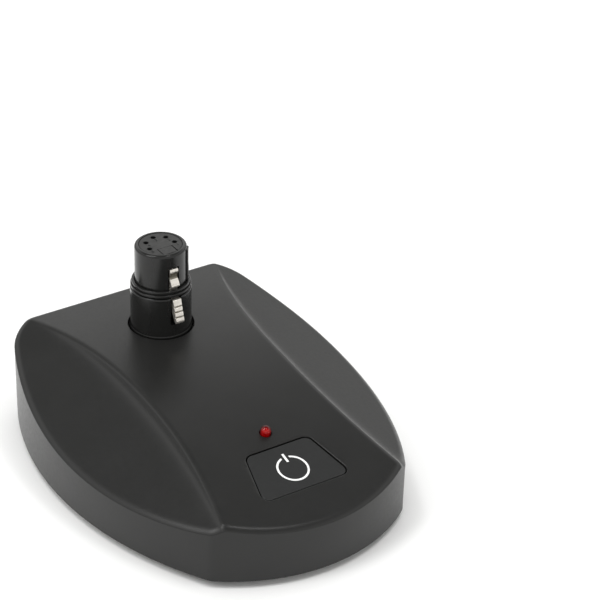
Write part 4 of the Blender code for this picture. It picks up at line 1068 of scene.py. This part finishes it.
def makeCoil():
    high = -buttonFlangeLow + gap + coil["wire"]
    steps = round(coil["turns"] * coil["turnSteps"])
    bm = bmesh.new()
    section = Matrix.Translation((coil["radius"], 0, -coil["low"])) @ Matrix.Rotation(pi / 2, 4, "X")
    bmesh.ops.create_circle(bm, segments=coil["wireSteps"], radius=coil["wire"], matrix=section)
    rise = (coil["low"] - high) / steps
    bmesh.ops.spin(bm, geom=bm.verts[:] + bm.edges[:], cent=(0, 0, 0), axis=(0, 0, 1), dvec=(0, 0, rise),
                   angle=2 * pi * coil["turns"], steps=steps)
    bmesh.ops.holes_fill(bm, edges=openEdges(bm), sides=0)
    moveAll(bm, onButton)
    piece = newPiece("return_coil", bm, "steel", "button_spring")
    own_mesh(piece)


makeButton()
makeMark()
makeCoil()
print("button made")


# red lamp

def makeLamp():
    top = lamp["stand"] - lampDrop
    flangeHigh = -housing["wall"] - lampDrop - 2 * gap
    low = flangeHigh - lamp["flangeThick"]
    radius = lamp["radius"]
    wide = radius + lamp["flange"]
    side = [(0, top), (radius, top), (radius, flangeHigh), (wide, flangeHigh), (wide, low), (0, low)]
    bm = turned(side, lamp["steps"], rounds=[([1], radius * lamp["dome"], lamp["domeSteps"])])
    moveAll(bm, onButton @ Matrix.Translation((0, lampY, 0)))
    newPiece("lamp_lens", bm, "lamp_red", "status_lamp")


makeLamp()
print("lamp made")


# upright socket

socketTop = crownAt(socketY)
onSocket = Matrix.Translation((0, socketY, socketTop))
tipZ = socketHigh.z - socketTop
spigotZ = socketLow.z - socketTop
ringLow, ringHigh = (corner.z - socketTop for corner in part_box("coding_ring"))
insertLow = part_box("socket_insert")[0].z - socketTop
insertTop = tipZ - gap / 3
contactLow, contactTop = (corner.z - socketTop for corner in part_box("socket_contact_1"))
contactMiddles = [middleOf(f"socket_contact_{index}") for index in range(1, 6)]
contactSpots = [Vector((spot.x, spot.y - socketY, 0)) for spot in contactMiddles]
shell = {
    "bore": 0.00667,
    "tip": 0.0080,
    "body": 0.00945,
    "lip": 0.0096,
    "flange": 0.0120,
    "flangeThick": 0.0015,
    "tipRound": 0.0009,
    "shoulderRound": 0.0005,
    "slotHalf": 0.0019,
    "slotLow": 0.0042,
    "slotFromTip": 0.0044,
    "slotRound": 0.0004,
    "ribTurn": radians(-36),
    "ribWidth": 0.0026,
    "ribHeight": 0.0005,
    "ribFromTip": 0.0010,
    "ribRound": 0.0003,
}
ring = {
    "bore": 0.0083,
    "upper": 0.0090,
    "lower": 0.00935,
    "groove": 0.00878,
    "grooveHalf": 0.0001,
    "round": 0.0003,
}
insert = {
    "radius": 0.00655,
    "edge": 0.00012,
    "mouth": 0.00080,
    "mouthFlare": 0.0001,
    "bore": 0.00125,
    "steps": 96,
    "digitSize": 0.0017,
    "digitDrop": 0.0019,
    "digitRaise": 0.0001,
}
keyCore = {
    "width": 0.00465,
    "length": 0.0156,
    "inner": 0.0025,
    "pocket": 0.0033,
    "edge": 0.00012,
}
contact = {
    "radius": 0.00095,
    "mouth": 0.00065,
    "bore": 0.0100,
    "steps": 32,
}


def makeShell():
    bore = shell["bore"]
    tip = shell["tip"]
    outer = shell["body"]
    lip = shell["lip"]
    flange = shell["flange"]
    bodyTop = ringLow - gap
    flangeTop = crownAt(socketY - flange) - socketTop - housing["wall"] - gap
    flangeLow = flangeTop - shell["flangeThick"]
    side = [(bore, tipZ), (tip, tipZ), (tip, bodyTop), (outer, bodyTop), (outer, gap), (lip, 0),
            (lip, flangeTop), (flange, flangeTop), (flange, flangeLow), (outer, flangeLow), (outer, spigotZ),
            (bore, spigotZ)]
    rounds = [([1], shell["tipRound"], 6), ([3], shell["shoulderRound"], 5), ([0], gap / 2, 3),
              ([4, 5], gap / 3, 3)]
    bm = turned(side, socket["steps"], True, rounds)
    half = shell["slotHalf"]
    slot = block((-half, -2 * outer, shell["slotLow"]), (half, -bore / 2, tipZ - shell["slotFromTip"]))
    corners = [e for e in slot.edges if abs(e.verts[0].co.y - e.verts[1].co.y) > gap]
    roundEdges(slot, corners, shell["slotRound"], 4)
    bm = carve(bm, slot)
    half = shell["ribWidth"] / 2
    rib = block(((bore + tip) / 2, -half, ringHigh + gap),
                (tip + shell["ribHeight"], half, tipZ - shell["ribFromTip"]))
    corners = [e for e in rib.edges if all(dot.co.x > tip for dot in e.verts)]
    roundEdges(rib, corners, shell["ribRound"], 4)
    moveAll(rib, Matrix.Rotation(shell["ribTurn"], 4, "Z"))
    bm = carve(bm, rib, "UNION")
    moveAll(bm, onSocket)
    newPiece("socket_body", bm, "socket_black", "socket_shell")


def makeRing():
    bore = ring["bore"]
    upper = ring["upper"]
    lower = ring["lower"]
    groove = ring["groove"]
    middle = (ringLow + ringHigh) / 2
    high = middle + ring["grooveHalf"]
    low = middle - ring["grooveHalf"]
    side = [(bore, ringHigh), (upper, ringHigh), (upper, high), (groove, high), (groove, low), (lower, low),
            (lower, ringLow), (bore, ringLow)]
    bm = turned(side, socket["steps"], True, [([1, 2, 5, 6], ring["round"], 5)])
    moveAll(bm, onSocket)
    newPiece("ridged_ring", bm, "socket_black", "coding_ring")


def makeInsert():
    radius = insert["radius"]
    bore = insert["bore"]
    side = [(0, insertTop), (radius, insertTop), (radius, insertLow), (0, insertLow)]
    bm = turned(side, insert["steps"], rounds=[([1], insert["edge"], 3)])
    half = keyCore["width"] / 2 + gap
    bm = carve(bm, block((-half, -2 * radius, insertLow - gap), (half, gap / 8 - keyCore["inner"], tipZ)))
    deep = insertTop - contactTop - gap
    below = insertLow - insertTop - gap
    side = edgeSide(insert["mouth"], insert["mouthFlare"], gap, deep)[:-1]
    side += [(bore, -deep), (bore, below), (0, below)]
    holes = bmesh.new()
    for spot in contactSpots:
        hole = turned(side, contact["steps"])
        moveAll(hole, Matrix.Translation(spot + Vector((0, 0, insertTop))))
        addTo(holes, hole)
    bm = carve(bm, holes)
    for face in bm.faces:  # the mouths' insides take the near-black copy, painted shade in the holes
        middle = face.calc_center_median()
        near = min((middle.xy - spot.xy).length for spot in contactSpots)
        if near < bore + gap and middle.z < insertTop - insert["mouthFlare"] / 4:
            face.material_index = 1
    moveAll(bm, onSocket)
    piece = newPiece("insert_body", bm, "insert_black", "socket_insert")
    piece.data.materials.append(recessShadeBlack)


def makeDigits():
    bm = bmesh.new()
    for number, spot in enumerate(contactSpots, 1):
        data = bpy.data.curves.new("digit", "FONT")
        data.body = str(number)
        data.size = insert["digitSize"]
        data.extrude = insert["digitRaise"]
        data.align_x = "CENTER"
        data.align_y = "CENTER"
        digit = drawnForm(data)
        moveAll(digit, Matrix.Translation(spot + Vector((0, -insert["digitDrop"], insertTop))))
        addTo(bm, digit)
    moveAll(bm, onSocket)
    newPiece("contact_numbers", bm, "socket_black")


def makeContacts():
    floor = contactTop - contact["bore"]
    side = [(contact["mouth"], contactTop), (contact["radius"], contactTop), (contact["radius"], contactLow),
            (0, contactLow), (0, floor), (contact["mouth"], floor)]
    for number, spot in enumerate(contactSpots, 1):
        bm = turned(side, contact["steps"], True)
        moveAll(bm, onSocket @ Matrix.Translation(spot))
        newPiece(f"contact_tube_{number}", bm, "contact_silver", f"socket_contact_{number}")


def makeKeyCore():
    half = keyCore["width"] / 2
    bm = block((-half, gap - insert["radius"], insertTop - keyCore["length"]),
               (half, -keyCore["inner"], insertTop))
    top = [e for e in bm.edges if all(dot.co.z > insertTop - gap for dot in e.verts)]
    roundEdges(bm, top, keyCore["edge"], 2)
    pocket = block((-shell["slotHalf"], -2 * insert["radius"], 0),
                   (shell["slotHalf"], -keyCore["pocket"], tipZ - shell["slotFromTip"]))
    bm = carve(bm, pocket)
    moveAll(bm, onSocket)
    newPiece("key_body", bm, "insert_black", "key_block")


makeShell()
makeRing()
makeInsert()
makeDigits()
makeContacts()
makeKeyCore()
print("socket made")


# latch on the socket's front: outlines run out from the socket's axis, then up

latch = {
    "width": 0.0028,
    "lip": [(0.0060, 0.0226), (0.0074, 0.0230), (0.0080, 0.0228), (0.0083, 0.0222), (0.0082, 0.0216),
            (0.0077, 0.0207), (0.0076, 0.0198), (0.0080, 0.0193), (0.0088, 0.0184), (0.0091, 0.0176),
            (0.0090, 0.0170), (0.0085, 0.0167), (0.0078, 0.0167), (0.0077, 0.0133)],
    "hollow": (0.0195, 0.0214),
    "padTop": (0.0099, 0.0131),
    "padEnd": (0.0119, 0.0066),
    "grooves": (0.33, 0.57, 0.82),
    "grooveWidth": 0.0005,
    "grooveDepth": 0.0006,
    "foot": [(0.0118, 0.0058), (0.0112, 0.0055), (0.0105, 0.0058), (0.0090, 0.0088)],
    "back": [(0.0070, 0.0127), (0.0066, 0.0162), (0.0056, 0.0210)],
    "corner": 0.00016,
    "edge": 0.00012,
    "eye": 0.0012,
    "bore": 0.0006,
    "eyeSteps": 40,
    "underside": -0.25,  # a face is one when its normal's Z is below this
    "frontward": -0.5,  # the same for the Y of a face in the hollow
}
leaf = {
    "line": [(0.0036, 0.0194), (0.0045, 0.0170), (0.0060, 0.0148)],
    "thick": 0.0003,
    "half": 0.0013,
    "keep": 0.65,
}
onFront = onSocket @ Matrix.Rotation(pi / 2, 4, "Z")  # turns an outline's -X to the socket's front
pinSpot = middleOf("latch_pin")


def crossRod(radius, half):
    bm = turned([(0, half), (radius, half), (radius, -half), (0, -half)], latch["eyeSteps"])
    moveAll(bm, Matrix.Translation(pinSpot) @ Matrix.Rotation(pi / 2, 4, "Y"))
    return bm


def makeLatch():
    width = latch["width"]
    top = Vector(latch["padTop"])
    end = Vector(latch["padEnd"])
    along = (end - top).normalized() * latch["grooveWidth"] / 2
    pad = [top]
    for share in latch["grooves"]:
        spot = top.lerp(end, share)
        pad += [spot - along, spot - Vector((latch["grooveDepth"], 0)), spot + along]
    pad.append(end)
    outline = latch["lip"] + [tuple(point) for point in pad] + latch["foot"] + latch["back"]
    outline = [(-out, height) for out, height in outline]
    bm = sideSolid(outline, width, latch["corner"], latch["edge"])
    moveAll(bm, onFront)
    bm = carve(bm, crossRod(latch["eye"], width / 2 - latch["edge"]), "UNION")
    bm = carve(bm, crossRod(latch["bore"], width))
    low, high = latch["hollow"]
    for face in bm.faces:  # painted shade: the hollow and the undersides take the darker copy of the nickel
        inHollow = low < face.calc_center_median().z - socketTop < high
        if face.normal.z < latch["underside"] or inHollow and face.normal.y < latch["frontward"]:
            face.material_index = 1
    piece = newPiece("latch_arm", bm, "latch_nickel", "latch_lever", "latch", sharp=30)
    piece.data.materials.append(latchPaintedShade)


def makeLeaf():
    line = leaf["line"]
    thick = leaf["thick"]
    far = [(out + thick, height) for out, height in reversed(line)]
    outline = [(-out, height) for out, height in line + far]
    bm = sideSolid(outline, 2 * leaf["half"], thick / 4, thick / 6)
    moveAll(bm, onFront)
    piece = newPiece("latch_leaf", bm, "steel", "latch_spring")
    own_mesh(piece)


makeLatch()
makeLeaf()
print("latch made")


# rear outlet

pin = {
    "radius": 0.0008,
    "tipDepth": 0.0035,
    "tipShare": 0.7,  # share of the radius that is rounded
    "collar": 0.0006,
    "collarHeight": 0.0009,
    "steps": 40,
}


def makeWell():
    front = -housing["wall"] - gap
    lipEnd = front - outlet["lip"]
    deep = -outlet["depth"]
    radius = outlet["radius"]
    outer = radius + outlet["wall"]
    step = radius + outlet["step"]
    side = [(radius, front), (outer - outlet["chamfer"], front), (outer, front - outlet["chamfer"]),
            (outer, deep), (step, deep), (step, lipEnd), (radius, lipEnd)]
    bm = turned(side, outlet["steps"], True, [([0, -1], outlet["edge"], 3)])
    moveAll(bm, onOutlet)
    bm = carve(bm, notchPlug(lipEnd, housing["wall"]))
    # the well takes the near-black copy: painted shade in the recess
    newPiece("well_tube", bm, "socket_black", "outlet_well", material=recessShadeBlack)


def makePins():
    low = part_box("outlet_pin_1")[0].y - rearY
    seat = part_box("outlet_board")[1].y - rearY + gap / 6
    radius = pin["radius"]
    tip = -pin["tipDepth"]
    side = [(0, tip), (radius, tip), (radius, seat + pin["collarHeight"]), (radius + pin["collar"], seat),
            (radius, seat), (radius, low), (0, low)]
    for index in range(1, 6):
        node = f"outlet_pin_{index}"
        spot = middleOf(node)
        bm = turned(side, pin["steps"], rounds=[([1], radius * pin["tipShare"], 5)])
        moveAll(bm, Matrix.Translation((spot.x, rearY, spot.z)) @ rearward)
        newPiece(f"outlet_prong_{index}", bm, "contact_silver", node)


makeWell()
makePins()
print("outlet made")


# inner cables, along the frame's routes

cable = {
    "radius": 0.0014,
    "sideSteps": 5,
    "alongSteps": 24,
    "boardX": 0.0070,
    "behindLamp": 0.0003,
    "boardDepth": 0.0139,
    "outletX": 0.0090,
    "outletDrop": 0.0055,
    "stub": 0.0028,
    "pull": 0.0080,
    "floorGap": 0.0010,
}


def pulledOn(point, way):
    # handle of the curve: straight on, or as far down as the plate leaves room for
    if way.z == 0:
        return point + way * cable["pull"]
    floor = plateHigh + cable["radius"] + cable["floorGap"]
    return point + way * (floor - point.z) / way.z


def makeCable(name, node, start, startWay, end, endWay):
    data = bpy.data.curves.new(name, "CURVE")
    data.dimensions = "3D"
    data.bevel_depth = cable["radius"]
    data.bevel_resolution = cable["sideSteps"]
    data.resolution_u = cable["alongSteps"]
    data.use_fill_caps = True
    first = start + startWay * cable["stub"]
    last = end + endWay * cable["stub"]
    rows = [
        (start, start, start.lerp(first, 1 / 3)),
        (start.lerp(first, 2 / 3), first, pulledOn(first, startWay)),
        (pulledOn(last, endWay), last, last.lerp(end, 1 / 3)),
        (last.lerp(end, 2 / 3), end, end),
    ]
    spline = data.splines.new("BEZIER")
    spline.bezier_points.add(len(rows) - 1)
    for knot, (before, here, after) in zip(spline.bezier_points, rows):
        knot.handle_left_type = "FREE"
        knot.handle_right_type = "FREE"
        knot.handle_left = before
        knot.co = here
        knot.handle_right = after
    newPiece(name, drawnForm(data), "cable_jacket", node)


def makeCables():
    down = Vector((0, 0, -1))
    boardDown = onButton.to_3x3() @ down
    boardY = lampY + cable["behindLamp"]
    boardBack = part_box("outlet_board")[0].y - gap
    socketEnd = Vector((0, socketY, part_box("socket_board")[0].z - gap))
    audioEnd = onButton @ Vector((-cable["boardX"], boardY, -cable["boardDepth"]))
    outletStart = onButton @ Vector((cable["boardX"], boardY, -cable["boardDepth"]))
    outletEnd = Vector((outletX - cable["outletX"], boardBack, outletZ - cable["outletDrop"]))
    makeCable("socket_lead", "audio_cable", socketEnd, down, audioEnd, boardDown)
    makeCable("outlet_lead", "outlet_cable", outletStart, boardDown, outletEnd, Vector((0, -1, 0)))


makeCables()
print("cables made")


# studio: pale floor, glowing sky, soft lights

studio = {
    "floorSize": 4.0,
    "floorSteps": 96,
    "floorColour": (0.90, 0.90, 0.895, 1),
    "floorRough": 0.9,
    # sine of the height above the horizon, then the glow there
    "sky": ((0.0, 0.30), (0.20, 0.56), (0.42, 1.25), (0.56, 1.36), (0.66, 0.72), (0.72, 0.40), (0.85, 0.25)),
    "skyBlue": 0.99,
    "backWay": (0.45, 0.89, 0.0),  # the backdrop glows, the room in front of it is dimmer
    "backSpan": (-0.3, 0.4),
    "roomGlow": 0.95,
    # place, size, power, seen in reflections
    "lights": (((-0.82, 0.022, 0.938), 0.50, 2.8, True), ((-0.385, 0.089, 1.19), 0.24, 1.9, True),
               ((0.255, -0.303, 1.19), 0.20, 1.3, True), ((0, 0, 1.25), 1.3, 9.0, False)),
}


def layFloor():
    bm = bmesh.new()
    bmesh.ops.create_circle(bm, cap_ends=True, segments=studio["floorSteps"], radius=studio["floorSize"])
    mesh = toMesh("floor", bm)
    paper = finish("palePaper", Base_Color=studio["floorColour"], Roughness=studio["floorRough"])[0]
    mesh.materials.append(paper)
    floor = toScene("floor", mesh)


def setSky():
    world = bpy.data.worlds.new("studio")
    bpy.context.scene.world = world
    world.use_nodes = True
    tree = world.node_tree
    background = tree.nodes["Background"]
    ray = addNode(tree, "TexCoord")
    split = addNode(tree, "SeparateXYZ")
    ramp = addNode(tree, "ValToRGB")
    stops = ramp.color_ramp.elements
    for index, (height, glow) in enumerate(studio["sky"]):
        stop = stops[index] if index < 1 else stops.new(height)
        stop.position = height
        stop.color = (glow, glow, glow * studio["skyBlue"], 1)
    stops.remove(stops[-1])
    tree.links.new(ray.outputs["Generated"], split.inputs["Vector"])
    tree.links.new(split.outputs["Z"], ramp.inputs["Fac"])
    tree.links.new(ramp.outputs["Color"], background.inputs["Color"])
    backward = addNode(tree, "VectorMath")
    backward.operation = "DOT_PRODUCT"
    backward.inputs[1].default_value = studio["backWay"]
    first, last = studio["backSpan"]
    mapped = addNode(tree, "MapRange", From_Min=first, From_Max=last, To_Min=studio["roomGlow"])
    tree.links.new(ray.outputs["Generated"], backward.inputs[0])
    tree.links.new(backward.outputs["Value"], mapped.inputs["Value"])
    tree.links.new(mapped.outputs["Result"], background.inputs["Strength"])


def softLight(name, place, size, power, mirrored):
    data = bpy.data.lights.new(name, "AREA")
    data.shape = "DISK"
    data.size = size
    data.energy = power
    light = toScene(name, data)
    light.location = place
    light.rotation_euler = (-Vector(place)).to_track_quat("-Z", "Y").to_euler()
    light.visible_glossy = mirrored


layFloor()
setSky()
bpy.context.scene.view_settings.view_transform = "Standard"
for index, row in enumerate(studio["lights"], 1):
    softLight(f"softLight{index}", *row)
print("studio set")
